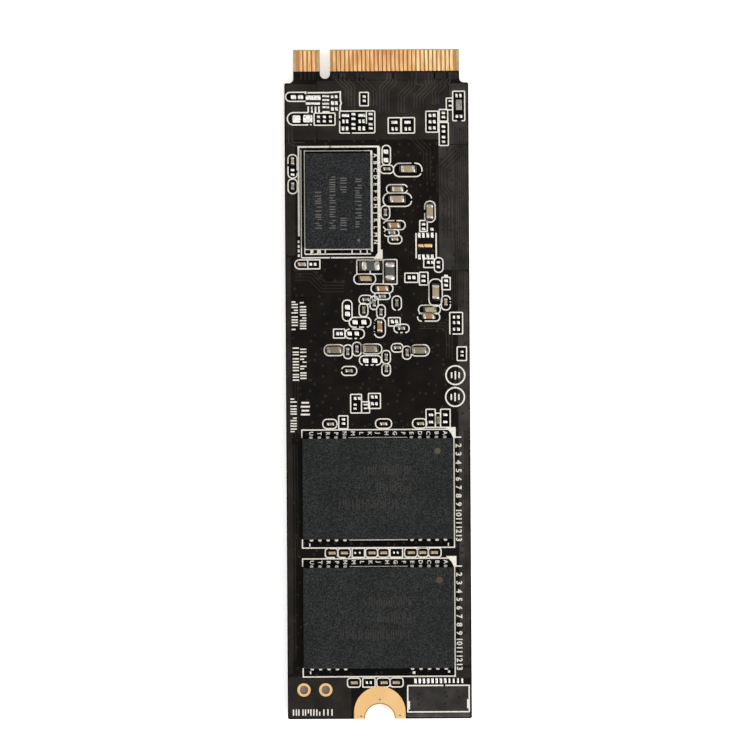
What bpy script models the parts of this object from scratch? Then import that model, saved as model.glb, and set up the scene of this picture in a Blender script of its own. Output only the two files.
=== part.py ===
"""A solid state drive on a bare M.2 2280 card, as an assembly of separate solids.

The card lies flat on the label of its lower side. The origin is on the ground under the middle of
the card, +Y points to the edge connector, +X is to the right seen from above with the connector
away from the viewer, and +Z is up. Nothing on this object moves.
"""

import math
from typing import NamedTuple

import bmesh
import bpy
from mathutils import Matrix

MM = 0.001

# The card's outline, as the M.2 2280 standard gives it
BOARD_WIDTH = 22.0 * MM
BOARD_LENGTH = 80.0 * MM
BOARD_THICKNESS = 0.8 * MM
BOARD_CORNER = 0.25 * MM
TONGUE_WIDTH = 19.85 * MM
TONGUE_LENGTH = 4.0 * MM
SHOULDER_RADIUS = 0.5 * MM
KEY_X = -6.125 * MM
KEY_WIDTH = 1.2 * MM
KEY_DEPTH = 3.5 * MM
NOTCH_RADIUS = 1.75 * MM
ARC_STEPS = 16

# Every piece keeps this much air to what it touches on the real card
GAP = 0.02 * MM
COPPER = 0.04 * MM

# The edge contacts: pin n lies at (38 - n) quarters of a millimetre
PIN_STEP = 0.25 * MM
MIDDLE_PIN = 38
CONTACT_WIDTH = 0.35 * MM
CONTACT_SETBACK = 0.15 * MM
CONTACT_BUS_INNER = 36.05 * MM
CONTACT_BUS_OUTER = 36.3 * MM
UPPER_PINS = [*range(74, 66, -2), *range(58, 0, -2)]
LOWER_PINS = [*range(75, 65, -2), *range(57, 0, -2)]

# The plating of the screw notch and the two test eyelets
SCREW_PAD_RADIUS = 3.08 * MM
SCREW_PAD_RISE = 0.8 * MM
EYELETS = [("test_eyelet_left", -9.05 * MM, -36.5 * MM), ("test_eyelet_right", -6.45 * MM, -36.5 * MM)]
EYELET_FLANGE_RADIUS = 0.8 * MM
EYELET_HOLE_RADIUS = 0.5 * MM
EYELET_STEPS = 24

# Layers of a ball grid package, counted outwards from the board
BALL_HEIGHT = 0.22 * MM
SUBSTRATE_HEIGHT = 0.20 * MM
MOULD_HEIGHT = 0.76 * MM
PACKAGE_HEIGHT = BALL_HEIGHT + SUBSTRATE_HEIGHT + MOULD_HEIGHT
BALL_FIELD_INSET = 0.9 * MM
PACKAGE_EDGE_BEVEL = 0.04 * MM
DIE_HEIGHT = 0.12 * MM
DIE_OFFSET = 0.35 * MM
LID_HEIGHT = 0.14 * MM
LID_INSET = 1.4 * MM

LABEL_THICKNESS = 0.10 * MM
LABEL_WIDTH = 20.4 * MM
LABEL_FRONT = 28.4 * MM
LABEL_BACK = -34.4 * MM
LABEL_CORNER = 0.8 * MM

BOARD_BOTTOM = LABEL_THICKNESS + GAP + PACKAGE_HEIGHT
BOARD_TOP = BOARD_BOTTOM + BOARD_THICKNESS
BOARD_FRONT = BOARD_LENGTH / 2
BOARD_BACK = -BOARD_LENGTH / 2
SHOULDER_Y = BOARD_FRONT - TONGUE_LENGTH

UPPER = 1
LOWER = -1


class Package(NamedTuple):
    """A ball grid package: its side, place and size, and the size and number of its stacked dies."""

    name: str
    side: int
    x: float
    y: float
    width: float
    length: float
    die_width: float
    die_length: float
    dies: int


class Chip(NamedTuple):
    """A small part soldered flat: its kind, side, place, and whether it is turned along the card."""

    name: str
    kind: str
    side: int
    x: float
    y: float
    turned: bool


PACKAGES = [
    Package("dram_upper", UPPER, -4.6 * MM, 21.85 * MM, 7.7 * MM, 11.4 * MM, 5.4 * MM, 8.6 * MM, 1),
    Package("flash_a", UPPER, -0.05 * MM, -12.5 * MM, 18.0 * MM, 12.0 * MM, 12.0 * MM, 6.4 * MM, 4),
    Package("flash_b", UPPER, -0.05 * MM, -27.9 * MM, 18.0 * MM, 12.0 * MM, 12.0 * MM, 6.4 * MM, 4),
    Package("dram_lower", LOWER, -4.6 * MM, 21.85 * MM, 7.7 * MM, 11.4 * MM, 5.4 * MM, 8.6 * MM, 1),
    Package("controller", LOWER, 0.5 * MM, 7.6 * MM, 14.0 * MM, 14.0 * MM, 6.6 * MM, 6.0 * MM, 1),
    Package("flash_c", LOWER, -0.05 * MM, -12.5 * MM, 18.0 * MM, 12.0 * MM, 12.0 * MM, 6.4 * MM, 4),
    Package("flash_d", LOWER, -0.05 * MM, -27.9 * MM, 18.0 * MM, 12.0 * MM, 12.0 * MM, 6.4 * MM, 4),
]

# Length, width and height of each kind of small part, and how far its metal ends reach in
CHIP_SIZES = {
    "capacitor_small": (0.9 * MM, 0.45 * MM, 0.45 * MM, 0.22 * MM),
    "capacitor_middle": (1.3 * MM, 0.62 * MM, 0.6 * MM, 0.3 * MM),
    "capacitor_large": (1.7 * MM, 0.82 * MM, 0.8 * MM, 0.4 * MM),
    "ferrite": (2.2 * MM, 1.15 * MM, 0.85 * MM, 0.62 * MM),
}
END_PROUD = 0.02 * MM

CHIPS = [
    Chip("capacitor_c1", "capacitor_large", UPPER, 3.72 * MM, 25.65 * MM, False),
    Chip("capacitor_c2", "capacitor_large", UPPER, 2.4 * MM, 22.05 * MM, False),
    Chip("capacitor_c3", "capacitor_middle", UPPER, 2.45 * MM, 23.25 * MM, False),
    Chip("capacitor_c4", "capacitor_large", UPPER, 6.3 * MM, 20.55 * MM, True),
    Chip("capacitor_c5", "capacitor_middle", UPPER, 2.02 * MM, 18.95 * MM, False),
    Chip("capacitor_c6", "capacitor_middle", UPPER, -1.45 * MM, 12.6 * MM, False),
    Chip("capacitor_c7", "capacitor_middle", UPPER, 0.58 * MM, 11.4 * MM, False),
    Chip("capacitor_c8", "capacitor_large", UPPER, 6.95 * MM, 10.95 * MM, True),
    Chip("capacitor_c9", "capacitor_middle", UPPER, 6.3 * MM, 8.85 * MM, False),
    Chip("capacitor_c10", "capacitor_middle", UPPER, 6.1 * MM, 8.05 * MM, False),
    Chip("capacitor_c11", "capacitor_middle", UPPER, 0.25 * MM, 6.9 * MM, True),
    Chip("capacitor_c12", "capacitor_large", UPPER, -5.2 * MM, 4.1 * MM, False),
    Chip("capacitor_c13", "capacitor_large", UPPER, -0.95 * MM, 4.2 * MM, False),
    Chip("capacitor_c14", "capacitor_large", UPPER, 4.95 * MM, 4.0 * MM, False),
    Chip("capacitor_c15", "capacitor_small", UPPER, -9.0 * MM, 14.35 * MM, False),
    Chip("ferrite_bead_l1", "ferrite", UPPER, -0.8 * MM, 14.1 * MM, False),
    Chip("ferrite_bead_l2", "ferrite", UPPER, 1.5 * MM, 13.45 * MM, True),
]

# Plain moulded parts: name, side, X, Y, width, length, height, edge bevel and colour name
MOULDED_PARTS = [
    ("power_manager", LOWER, 5.4 * MM, 21.2 * MM, 5.0 * MM, 5.0 * MM, 0.85 * MM, 0.08 * MM, "mould"),
    ("core_regulator", LOWER, -6.2 * MM, 31.2 * MM, 3.0 * MM, 3.0 * MM, 0.85 * MM, 0.08 * MM, "mould"),
    ("inductor_l3", LOWER, 3.0 * MM, 26.6 * MM, 2.5 * MM, 2.0 * MM, 1.0 * MM, 0.15 * MM, "ferrite"),
    ("inductor_l4", LOWER, 6.6 * MM, 26.6 * MM, 2.5 * MM, 2.0 * MM, 1.0 * MM, 0.15 * MM, "ferrite"),
    ("clock_crystal", LOWER, -9.0 * MM, 11.6 * MM, 2.0 * MM, 2.5 * MM, 0.6 * MM, 0.08 * MM, "nickel"),
]

# Colour, roughness and metallic value of each finish
FINISHES = {
    "solder_mask": ((0.012, 0.011, 0.011), 0.45, 0.0),
    "gold": ((0.83, 0.56, 0.27), 0.38, 1.0),
    "laminate": ((0.05, 0.07, 0.04), 0.6, 0.0),
    "mould": ((0.035, 0.036, 0.038), 0.6, 0.0),
    "solder": ((0.72, 0.72, 0.70), 0.3, 1.0),
    "silicon": ((0.22, 0.23, 0.26), 0.2, 0.3),
    "nickel": ((0.66, 0.65, 0.62), 0.3, 1.0),
    "ceramic": ((0.45, 0.33, 0.22), 0.5, 0.0),
    "ferrite": ((0.14, 0.15, 0.16), 0.55, 0.0),
    "plug": ((0.23, 0.20, 0.17), 0.6, 0.0),
    "label": ((0.82, 0.82, 0.80), 0.55, 0.0),
}


def clear_scene():
    for old in list(bpy.data.objects):
        bpy.data.objects.remove(old, do_unlink=True)


def new_collection(name):
    made = bpy.data.collections.new(name)
    bpy.context.scene.collection.children.link(made)
    return made


def make_finishes():
    for name, (colour, roughness, metallic) in FINISHES.items():
        finish = bpy.data.materials.new(name)
        finish.use_nodes = True
        shader = finish.node_tree.nodes["Principled BSDF"]
        shader.inputs["Base Color"].default_value = (*colour, 1.0)
        shader.inputs["Roughness"].default_value = roughness
        shader.inputs["Metallic"].default_value = metallic


def add_object(name, mesh, collection, finish):
    """One named object that shows this mesh."""
    made = bpy.data.objects.new(name, mesh)
    collection.objects.link(made)
    if finish and not mesh.materials:
        mesh.materials.append(bpy.data.materials[finish])
    return made


def box_mesh(name, size):
    """A box of this size, centred on the origin."""
    shape = bmesh.new()
    bmesh.ops.create_cube(shape, size=1.0)
    bmesh.ops.scale(shape, vec=size, verts=shape.verts)
    mesh = bpy.data.meshes.new(name)
    shape.to_mesh(mesh)
    shape.free()
    return mesh


def add_box(name, centre, size, collection, finish, bevel=0.0):
    """A box, its edges bevelled where a bevel is given."""
    box = add_object(name, box_mesh(name, size), collection, finish)
    box.location = centre
    if bevel:
        rounding = box.modifiers.new("edges", "BEVEL")
        rounding.width = bevel
        rounding.segments = 2
    return box


def add_plate(name, loops, low, high, collection, finish, standing=False):
    """A plate with this outline, and holes where further loops lie inside it.

    It runs from low to high in Z, or in X when standing, with the outline in Y and Z.
    """
    curve = bpy.data.curves.new(name, "CURVE")
    curve.dimensions = "2D"
    curve.fill_mode = "BOTH"
    curve.extrude = (high - low) / 2
    for loop in loops:
        spline = curve.splines.new("POLY")
        spline.points.add(len(loop) - 1)
        for point, (x, y) in zip(spline.points, loop):
            point.co = (x, y, 0.0, 1.0)
        spline.use_cyclic_u = True
    outline = bpy.data.objects.new(name, curve)
    bpy.context.scene.collection.objects.link(outline)
    bpy.context.view_layer.update()
    graph = bpy.context.evaluated_depsgraph_get()
    mesh = bpy.data.meshes.new_from_object(outline.evaluated_get(graph))
    bpy.data.objects.remove(outline, do_unlink=True)

    shape = bmesh.new()
    shape.from_mesh(mesh)
    bmesh.ops.remove_doubles(shape, verts=shape.verts, dist=0.0001 * MM)
    bmesh.ops.translate(shape, vec=(0.0, 0.0, (low + high) / 2), verts=shape.verts)
    if standing:
        # Carries the outline's X to Y, its Y to Z, and the thickness to X
        turn = Matrix(((0, 0, 1), (1, 0, 0), (0, 1, 0)))
        bmesh.ops.rotate(shape, cent=(0.0, 0.0, 0.0), matrix=turn, verts=shape.verts)
    bmesh.ops.recalc_face_normals(shape, faces=shape.faces)
    shape.to_mesh(mesh)
    shape.free()
    return add_object(name, mesh, collection, finish)


def combine(target, tool, operation):
    """Cuts the target with a tool, or joins the tool to it. The tool is only a guide."""
    change = target.modifiers.new(operation.lower(), "BOOLEAN")
    change.operation = operation
    change.solver = "EXACT"
    change.object = tool
    tool.hide_render = True
    tool.display_type = "WIRE"


def arc(centre_x, centre_y, radius, start, end, steps=ARC_STEPS):
    """Points on an arc, with its angles in degrees counted from +X."""
    points = []
    for step in range(steps + 1):
        angle = math.radians(start + (end - start) * step / steps)
        points.append((centre_x + radius * math.cos(angle), centre_y + radius * math.sin(angle)))
    return points


def circle(centre_x, centre_y, radius, steps):
    return arc(centre_x, centre_y, radius, 0.0, 360.0, steps)[:-1]


def rounded_rectangle(left, right, back, front, corner):
    """The outline of a rectangle with round corners."""
    steps = ARC_STEPS // 4
    return [
        *arc(right - corner, back + corner, corner, -90.0, 0.0, steps),
        *arc(right - corner, front - corner, corner, 0.0, 90.0, steps),
        *arc(left + corner, front - corner, corner, 90.0, 180.0, steps),
        *arc(left + corner, back + corner, corner, 180.0, 270.0, steps),
    ]


def layer(side, start, height):
    """The middle in Z of a layer on this side, which begins this far out from the board."""
    face = BOARD_TOP if side == UPPER else BOARD_BOTTOM
    return face + side * (start + height / 2)


def board_outline():
    """The card: a tongue with its key at the front, and a half-round screw notch at the back."""
    half = BOARD_WIDTH / 2
    tongue = TONGUE_WIDTH / 2
    corner = BOARD_CORNER
    steps = ARC_STEPS // 4
    shoulder = SHOULDER_RADIUS
    key_half = KEY_WIDTH / 2
    key_bottom = BOARD_FRONT - KEY_DEPTH + key_half
    notch = NOTCH_RADIUS + COPPER + GAP
    return [
        *arc(0.0, BOARD_BACK, notch, 180.0, 0.0),
        *arc(half - corner, BOARD_BACK + corner, corner, -90.0, 0.0, steps),
        *arc(half - corner, SHOULDER_Y - corner, corner, 0.0, 90.0, steps),
        *arc(tongue + shoulder, SHOULDER_Y + shoulder, shoulder, 270.0, 180.0, steps),
        (tongue, BOARD_FRONT),
        (KEY_X + key_half, BOARD_FRONT),
        *arc(KEY_X, key_bottom, key_half, 0.0, -180.0),
        (KEY_X - key_half, BOARD_FRONT),
        (-tongue, BOARD_FRONT),
        *arc(-tongue - shoulder, SHOULDER_Y + shoulder, shoulder, 0.0, -90.0, steps),
        *arc(-half + corner, SHOULDER_Y - corner, corner, 90.0, 180.0, steps),
        *arc(-half + corner, BOARD_BACK + corner, corner, 180.0, 270.0, steps),
    ]


def make_board(parts):
    """The bare card, with a hole for each eyelet's barrel."""
    barrel = EYELET_HOLE_RADIUS + COPPER + GAP
    holes = [circle(x, y, barrel, EYELET_STEPS) for _, x, y in EYELETS]
    add_plate("circuit_board", [board_outline(), *holes], BOARD_BOTTOM, BOARD_TOP, parts, "solder_mask")


def contact_comb(pins):
    """The outline of a row of contacts, whose traces meet in a bus behind the key."""
    half = CONTACT_WIDTH / 2
    tip = BOARD_FRONT - CONTACT_SETBACK
    middles = [(MIDDLE_PIN - pin) * PIN_STEP for pin in pins]
    outline = [(middles[-1] + half, CONTACT_BUS_INNER), (middles[-1] + half, tip)]
    for previous, middle in zip(middles[:0:-1], middles[-2::-1]):
        outline.append((previous - half, tip))
        outline.append((previous - half, CONTACT_BUS_OUTER))
        outline.append((middle + half, CONTACT_BUS_OUTER))
        outline.append((middle + half, tip))
    outline.append((middles[0] - half, tip))
    outline.append((middles[0] - half, CONTACT_BUS_INNER))
    return outline


def make_contacts(parts):
    for name, side, pins in (
        ("upper_edge_contacts", UPPER, UPPER_PINS),
        ("lower_edge_contacts", LOWER, LOWER_PINS),
    ):
        middle = layer(side, GAP, COPPER)
        add_plate(name, [contact_comb(pins)], middle - COPPER / 2, middle + COPPER / 2, parts, "gold")


def make_screw_plating(parts, guides):
    """The pads around the screw notch on both sides, joined by the plated wall between them."""
    pad_side = SCREW_PAD_RADIUS
    pad_top = BOARD_BACK + SCREW_PAD_RISE
    outline = [
        *arc(0.0, BOARD_BACK, NOTCH_RADIUS, 180.0, 0.0),
        (pad_side, BOARD_BACK),
        *arc(0.0, pad_top, SCREW_PAD_RADIUS, 0.0, 180.0),
        (-pad_side, BOARD_BACK),
    ]
    low = BOARD_BOTTOM - GAP
    high = BOARD_TOP + GAP
    plating = add_plate("screw_notch_plating", [outline], low - COPPER, high + COPPER, parts, "gold")

    reach = 2 * pad_side
    core_outline = rounded_rectangle(-reach, reach, BOARD_BACK - reach, BOARD_BACK + reach, BOARD_CORNER)
    core_hole = circle(0.0, BOARD_BACK, NOTCH_RADIUS + COPPER, 2 * ARC_STEPS)
    core = add_plate("board_core_guide", [core_outline, core_hole], low, high, guides, None)
    combine(plating, core, "DIFFERENCE")


def make_eyelets(parts):
    """Two plated holes: a flanged barrel turned about its axis, closed by a resin plug."""
    low = BOARD_BOTTOM - GAP
    high = BOARD_TOP + GAP
    barrel = EYELET_HOLE_RADIUS + COPPER
    profile = [
        (EYELET_FLANGE_RADIUS, high + COPPER),
        (EYELET_FLANGE_RADIUS, high),
        (barrel, high),
        (barrel, low),
        (EYELET_FLANGE_RADIUS, low),
        (EYELET_FLANGE_RADIUS, low - COPPER),
        (EYELET_HOLE_RADIUS, low - COPPER),
        (EYELET_HOLE_RADIUS, high + COPPER),
    ]
    for name, x, y in EYELETS:
        shape = bmesh.new()
        corners = [shape.verts.new((radius, 0.0, z)) for radius, z in profile]
        for first, second in zip(corners, corners[1:] + corners[:1]):
            shape.edges.new((first, second))
        mesh = bpy.data.meshes.new(name)
        shape.to_mesh(mesh)
        shape.free()
        eyelet = add_object(name, mesh, parts, "gold")
        eyelet.location = (x, y, 0.0)
        turn = eyelet.modifiers.new("turn", "SCREW")
        turn.steps = EYELET_STEPS
        turn.render_steps = EYELET_STEPS
        turn.use_merge_vertices = True
        turn.merge_threshold = 0.0001 * MM

        plug_outline = circle(x, y, EYELET_HOLE_RADIUS - GAP, EYELET_STEPS)
        add_plate(f"{name}_plug", [plug_outline], BOARD_BOTTOM, BOARD_TOP - 0.1 * MM, parts, "plug")


def die_stack_outline(package, base):
    """The side of a stack of dies, each one set back from the one below like a stair."""
    side = package.side
    length = package.die_length
    first = package.y - (length + (package.dies - 1) * DIE_OFFSET) / 2
    rising = []
    returning = []
    for number in range(package.dies):
        start = first + number * DIE_OFFSET
        low = base + side * number * DIE_HEIGHT
        high = low + side * DIE_HEIGHT
        rising += [(start + length, low), (start + length, high)]
        returning += [(start, low), (start, high)]
    return rising + returning[::-1]


def make_package(package, parts, guides):
    """Solder balls, substrate, dies and the moulded cap over them, outwards from the board."""
    name, side, x, y = package[:4]
    width, length = package.width, package.length

    ball_height = BALL_HEIGHT - 2 * GAP
    ball_size = (width - BALL_FIELD_INSET, length - BALL_FIELD_INSET, ball_height)
    ball_middle = layer(side, GAP, ball_height)
    add_box(f"{name}_solder_balls", (x, y, ball_middle), ball_size, parts, "solder")

    substrate_middle = layer(side, BALL_HEIGHT, SUBSTRATE_HEIGHT)
    substrate_size = (width, length, SUBSTRATE_HEIGHT)
    add_box(f"{name}_substrate", (x, y, substrate_middle), substrate_size, parts, "laminate")

    cap_start = BALL_HEIGHT + SUBSTRATE_HEIGHT + GAP
    cap_height = PACKAGE_HEIGHT - cap_start
    lidded = name == "controller"
    if lidded:
        cap_height -= LID_HEIGHT + GAP
    cap_middle = layer(side, cap_start, cap_height)
    cap_size = (width, length, cap_height)
    cap = add_box(f"{name}_mould", (x, y, cap_middle), cap_size, parts, "mould", PACKAGE_EDGE_BEVEL)

    stack_height = package.dies * DIE_HEIGHT
    stack_length = package.die_length + (package.dies - 1) * DIE_OFFSET
    base = layer(side, cap_start, 0.0)
    outline = die_stack_outline(package, base)
    die_left = x - package.die_width / 2
    die_right = x + package.die_width / 2
    add_plate(f"{name}_die", [outline], die_left, die_right, parts, "silicon", standing=True)

    # The pocket that the mould flows around, open to the substrate
    pocket_height = 2 * (stack_height + GAP)
    pocket_size = (package.die_width + 2 * GAP, stack_length + 2 * GAP, pocket_height)
    pocket = add_box(f"{name}_pocket_guide", (x, y, base), pocket_size, guides, None)
    combine(cap, pocket, "DIFFERENCE")

    if lidded:
        lid_middle = layer(side, PACKAGE_HEIGHT - LID_HEIGHT, LID_HEIGHT)
        lid_size = (width - LID_INSET, length - LID_INSET, LID_HEIGHT)
        add_box(f"{name}_lid", (x, y, lid_middle), lid_size, parts, "nickel", PACKAGE_EDGE_BEVEL)


def chip_mesh(kind, guides):
    """A ceramic chip with two metal ends that stand a little proud of it."""
    length, width, height, end = CHIP_SIZES[kind]
    body_size = (length - 2 * END_PROUD, width - 2 * END_PROUD, height - 2 * END_PROUD)
    finish = "ferrite" if kind == "ferrite" else "ceramic"
    body = add_box(kind, (0.0, 0.0, 0.0), body_size, guides, finish)
    ends = []
    for direction in (-1, 1):
        centre = (direction * (length - end) / 2, 0.0, 0.0)
        ends.append(add_box(f"{kind}_end", centre, (end, width, height), guides, None))
        combine(body, ends[-1], "UNION")
    bpy.context.view_layer.update()
    graph = bpy.context.evaluated_depsgraph_get()
    mesh = bpy.data.meshes.new_from_object(body.evaluated_get(graph))
    for used in (body, *ends):
        bpy.data.objects.remove(used, do_unlink=True)
    return mesh


def make_chips(parts, guides):
    """Capacitors and ferrite beads; copies of one kind share one mesh."""
    meshes = {kind: chip_mesh(kind, guides) for kind in CHIP_SIZES}
    for chip in CHIPS:
        made = add_object(chip.name, meshes[chip.kind], parts, None)
        made.location = (chip.x, chip.y, layer(chip.side, GAP, CHIP_SIZES[chip.kind][2]))
        made.rotation_euler.z = math.pi / 2 if chip.turned else 0.0


def make_moulded_parts(parts):
    for name, side, x, y, width, length, height, bevel, finish in MOULDED_PARTS:
        add_box(name, (x, y, layer(side, GAP, height)), (width, length, height), parts, finish, bevel)


def make_label(parts):
    """The sticker over the packages of the lower side, on whose face the card lies."""
    side = LABEL_WIDTH / 2
    outline = rounded_rectangle(-side, side, LABEL_BACK, LABEL_FRONT, LABEL_CORNER)
    add_plate("label", [outline], 0.0, LABEL_THICKNESS, parts, "label")


def main():
    clear_scene()
    parts = new_collection("solid_state_drive")
    guides = new_collection("guides")
    make_finishes()
    make_board(parts)
    make_contacts(parts)
    make_screw_plating(parts, guides)
    make_eyelets(parts)
    for package in PACKAGES:
        make_package(package, parts, guides)
    make_chips(parts, guides)
    make_moulded_parts(parts)
    make_label(parts)


main()
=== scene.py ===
"""The looks of a solid state drive on an M.2 2280 card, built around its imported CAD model.

Every place in the tables is in millimetres from the middle of the card: +X to the right and +Y to the
edge connector. Functions take metres. Heights come from the CAD nodes' boxes.
"""

import itertools
import math
import random

import bmesh
import bpy
from mathutils import Matrix, Vector


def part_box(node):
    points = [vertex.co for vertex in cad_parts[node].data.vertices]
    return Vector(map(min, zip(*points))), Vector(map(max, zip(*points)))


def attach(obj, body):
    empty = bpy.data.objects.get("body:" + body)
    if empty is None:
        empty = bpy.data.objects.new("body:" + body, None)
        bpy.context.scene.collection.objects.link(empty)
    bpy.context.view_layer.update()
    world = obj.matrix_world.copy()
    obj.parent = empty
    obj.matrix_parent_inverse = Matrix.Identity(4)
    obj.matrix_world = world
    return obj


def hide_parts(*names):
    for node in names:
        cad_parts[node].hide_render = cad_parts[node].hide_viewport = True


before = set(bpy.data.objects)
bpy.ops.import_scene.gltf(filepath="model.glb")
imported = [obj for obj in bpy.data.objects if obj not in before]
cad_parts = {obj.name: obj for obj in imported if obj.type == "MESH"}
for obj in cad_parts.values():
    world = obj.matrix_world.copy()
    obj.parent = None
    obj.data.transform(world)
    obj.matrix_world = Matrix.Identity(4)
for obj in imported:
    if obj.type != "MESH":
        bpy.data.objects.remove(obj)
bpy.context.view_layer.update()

MM = 0.001
UPPER = 1
LOWER = -1
SIDES = (("upper", UPPER), ("lower", LOWER))

board_low, board_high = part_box("circuit_board")
BOARD_FRONT = board_high.y
BOARD_BACK = board_low.y
HALF_WIDTH = board_high.x

# What stands on the bare laminate, and how far each layer reaches out from it
MASK_RISE = 0.016 * MM
COPPER_RISE = 0.020 * MM
SITE_RISE = 0.0205 * MM
TRACE_RISE = 0.027 * MM
PRINT_START = 0.014 * MM
PRINT_RISE = 0.032 * MM
PAD_START = 0.012 * MM
PAD_RISE = 0.065 * MM
FINGER_START = 0.002 * MM
FINGER_SHOULDER = 0.045 * MM
FINGER_RISE = 0.058 * MM
WEB_RISE = 0.004 * MM

# The tongue, its key and the strip that the solder mask leaves bare
TONGUE_HALF = 9.925 * MM
SHOULDER_Y = 36.0 * MM
SHOULDER_RADIUS = 0.5 * MM
CORNER_RADIUS = 0.25 * MM
KEY_X = -6.125 * MM
KEY_HALF = 0.6 * MM
KEY_BOTTOM = 36.5 * MM
MASK_FRONT = 37.38 * MM
TONGUE_CHAMFER = 0.12 * MM
# How far the brown border reaches past the middle of a group's outermost contact
OUTER_BORDER_REACH = 0.58 * MM
NOTCH_BORDER_REACH = 0.42 * MM
SCREW_HOLE_RADIUS = 1.81 * MM
EYELETS = ("test_eyelet_left", "test_eyelet_right")
EYELET_HOLE_RADIUS = 0.56 * MM

PIN_STEP = 0.25 * MM
MIDDLE_PIN = 38
FINGER_WIDTH = 0.33 * MM
FINGER_FRONT = 39.88 * MM
LEAD_WIDTH = 0.2 * MM
LEAD_BACK = 36.4 * MM
# Contacts right of this X are drawn in a paler gold: a painted highlight of the light from the right.
HIGHLIT_CONTACTS_FROM = 4.6 * MM

PRINT_WIDTH = 0.14 * MM
TRACE_WIDTH = 0.13 * MM
CORNER_STEPS = 6

# Half the width and half the length of the ground that the card keeps free for a package
FLASH_SITE = (9.08 * MM, 7.05 * MM)
DRAM_SITE = (4.6 * MM, 6.4 * MM)
# From the middle of a flash package to its last row of balls
FLASH_LAST_ROW = 6.12 * MM
# The second flash package lies this far behind the first, in millimetres
FLASH_STEP = 15.6

# Vias: how many are wanted on each side, and how far they stay from each other and from other things
VIA_COUNTS = {"upper": 420, "lower": 200}
VIA_SPACING = 0.50 * MM
VIA_MARGIN = 0.28 * MM

# Linear colours
CERAMICS = {
    "tan": (0.30, 0.235, 0.155),
    "cream": (0.36, 0.27, 0.145),
    "orange": (0.29, 0.150, 0.058),
    "grey": (0.17, 0.165, 0.14),
    "olive": (0.17, 0.155, 0.09),
    "brown": (0.15, 0.125, 0.085),
}

# Which capacitors of the CAD model are made of each ceramic
CAPACITORS = {
    "tan": (1, 2, 3, 4, 8, 15),
    "cream": (6, 9),
    "orange": (5, 7, 10, 11),
    "olive": (14,),
    "brown": (12, 13),
}

# The rows of small chips beside the flash packages: the Y of each row, and its outlines' back and front
BETWEEN_FLASH = -20.15
BETWEEN_FLASH_OUTLINE = (-20.70, -19.62)
BEHIND_FLASH = -35.65
BEHIND_FLASH_OUTLINE = (-36.20, -35.12)

# The smaller chips of the upper side: X, Y, whether the chip is turned along the card, and its ceramic
SMALL_CHIPS = [
    (-10.05, 26.70, True, "tan"),
    (-10.05, 23.70, True, "grey"),
    (1.20, 25.70, False, "grey"),
    (1.00, 20.50, True, "grey"),
    (1.75, 18.10, False, "grey"),
    (2.10, 17.30, False, "tan"),
    (0.55, 10.50, False, "grey"),
    (-1.40, 10.10, False, "grey"),
    (-0.40, 9.70, True, "grey"),
    (2.30, 9.70, True, "olive"),
    (-1.65, 8.85, True, "olive"),
    (0.40, 8.60, True, "grey"),
    (2.85, 6.65, False, "grey"),
    (8.15, 9.75, True, "tan"),
    (-3.60, 3.90, True, "grey"),
    (-2.50, 4.20, True, "grey"),
    (1.00, 3.20, True, "grey"),
    (1.00, 1.85, True, "grey"),
    (-3.45, 1.60, False, "grey"),
    (2.35, 4.35, False, "grey"),
    (3.50, 3.75, True, "grey"),
    (-5.70, -4.75, False, "tan"),
    (0.65, -4.75, False, "tan"),
    (5.05, -4.75, False, "tan"),
    (7.15, -4.35, True, "brown"),
]
SMALL_CHIPS += [(x, BETWEEN_FLASH, False, "cream") for x in (-5.60, -4.15, -0.85, 0.55, 3.85, 5.20, 6.60)]
SMALL_CHIPS += [(x, BEHIND_FLASH, False, "cream") for x in (-3.05, 0.50, 1.95)]
SMALL_CHIP_SIZE = (0.82 * MM, 0.38 * MM, 0.38 * MM)

# The same, on the lower side
LOWER_CHIPS = [
    (-9.6, 20.0, True, "tan"),
    (-9.6, 24.5, True, "tan"),
    (9.3, 22.6, True, "tan"),
    (9.3, 20.3, True, "grey"),
    (5.4, 17.4, False, "tan"),
    (7.4, 17.4, False, "grey"),
    (1.2, 21.2, True, "grey"),
    (1.2, 24.0, True, "tan"),
    (-8.0, 3.5, True, "grey"),
    (-8.0, 6.5, True, "tan"),
    (9.0, 6.5, True, "grey"),
    (9.0, 3.0, True, "tan"),
    (-4.0, -1.6, False, "grey"),
    (0.5, -1.6, False, "tan"),
    (5.0, -1.6, False, "grey"),
    (-3.6, 31.2, True, "tan"),
    (-8.6, 31.2, True, "grey"),
]

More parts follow.
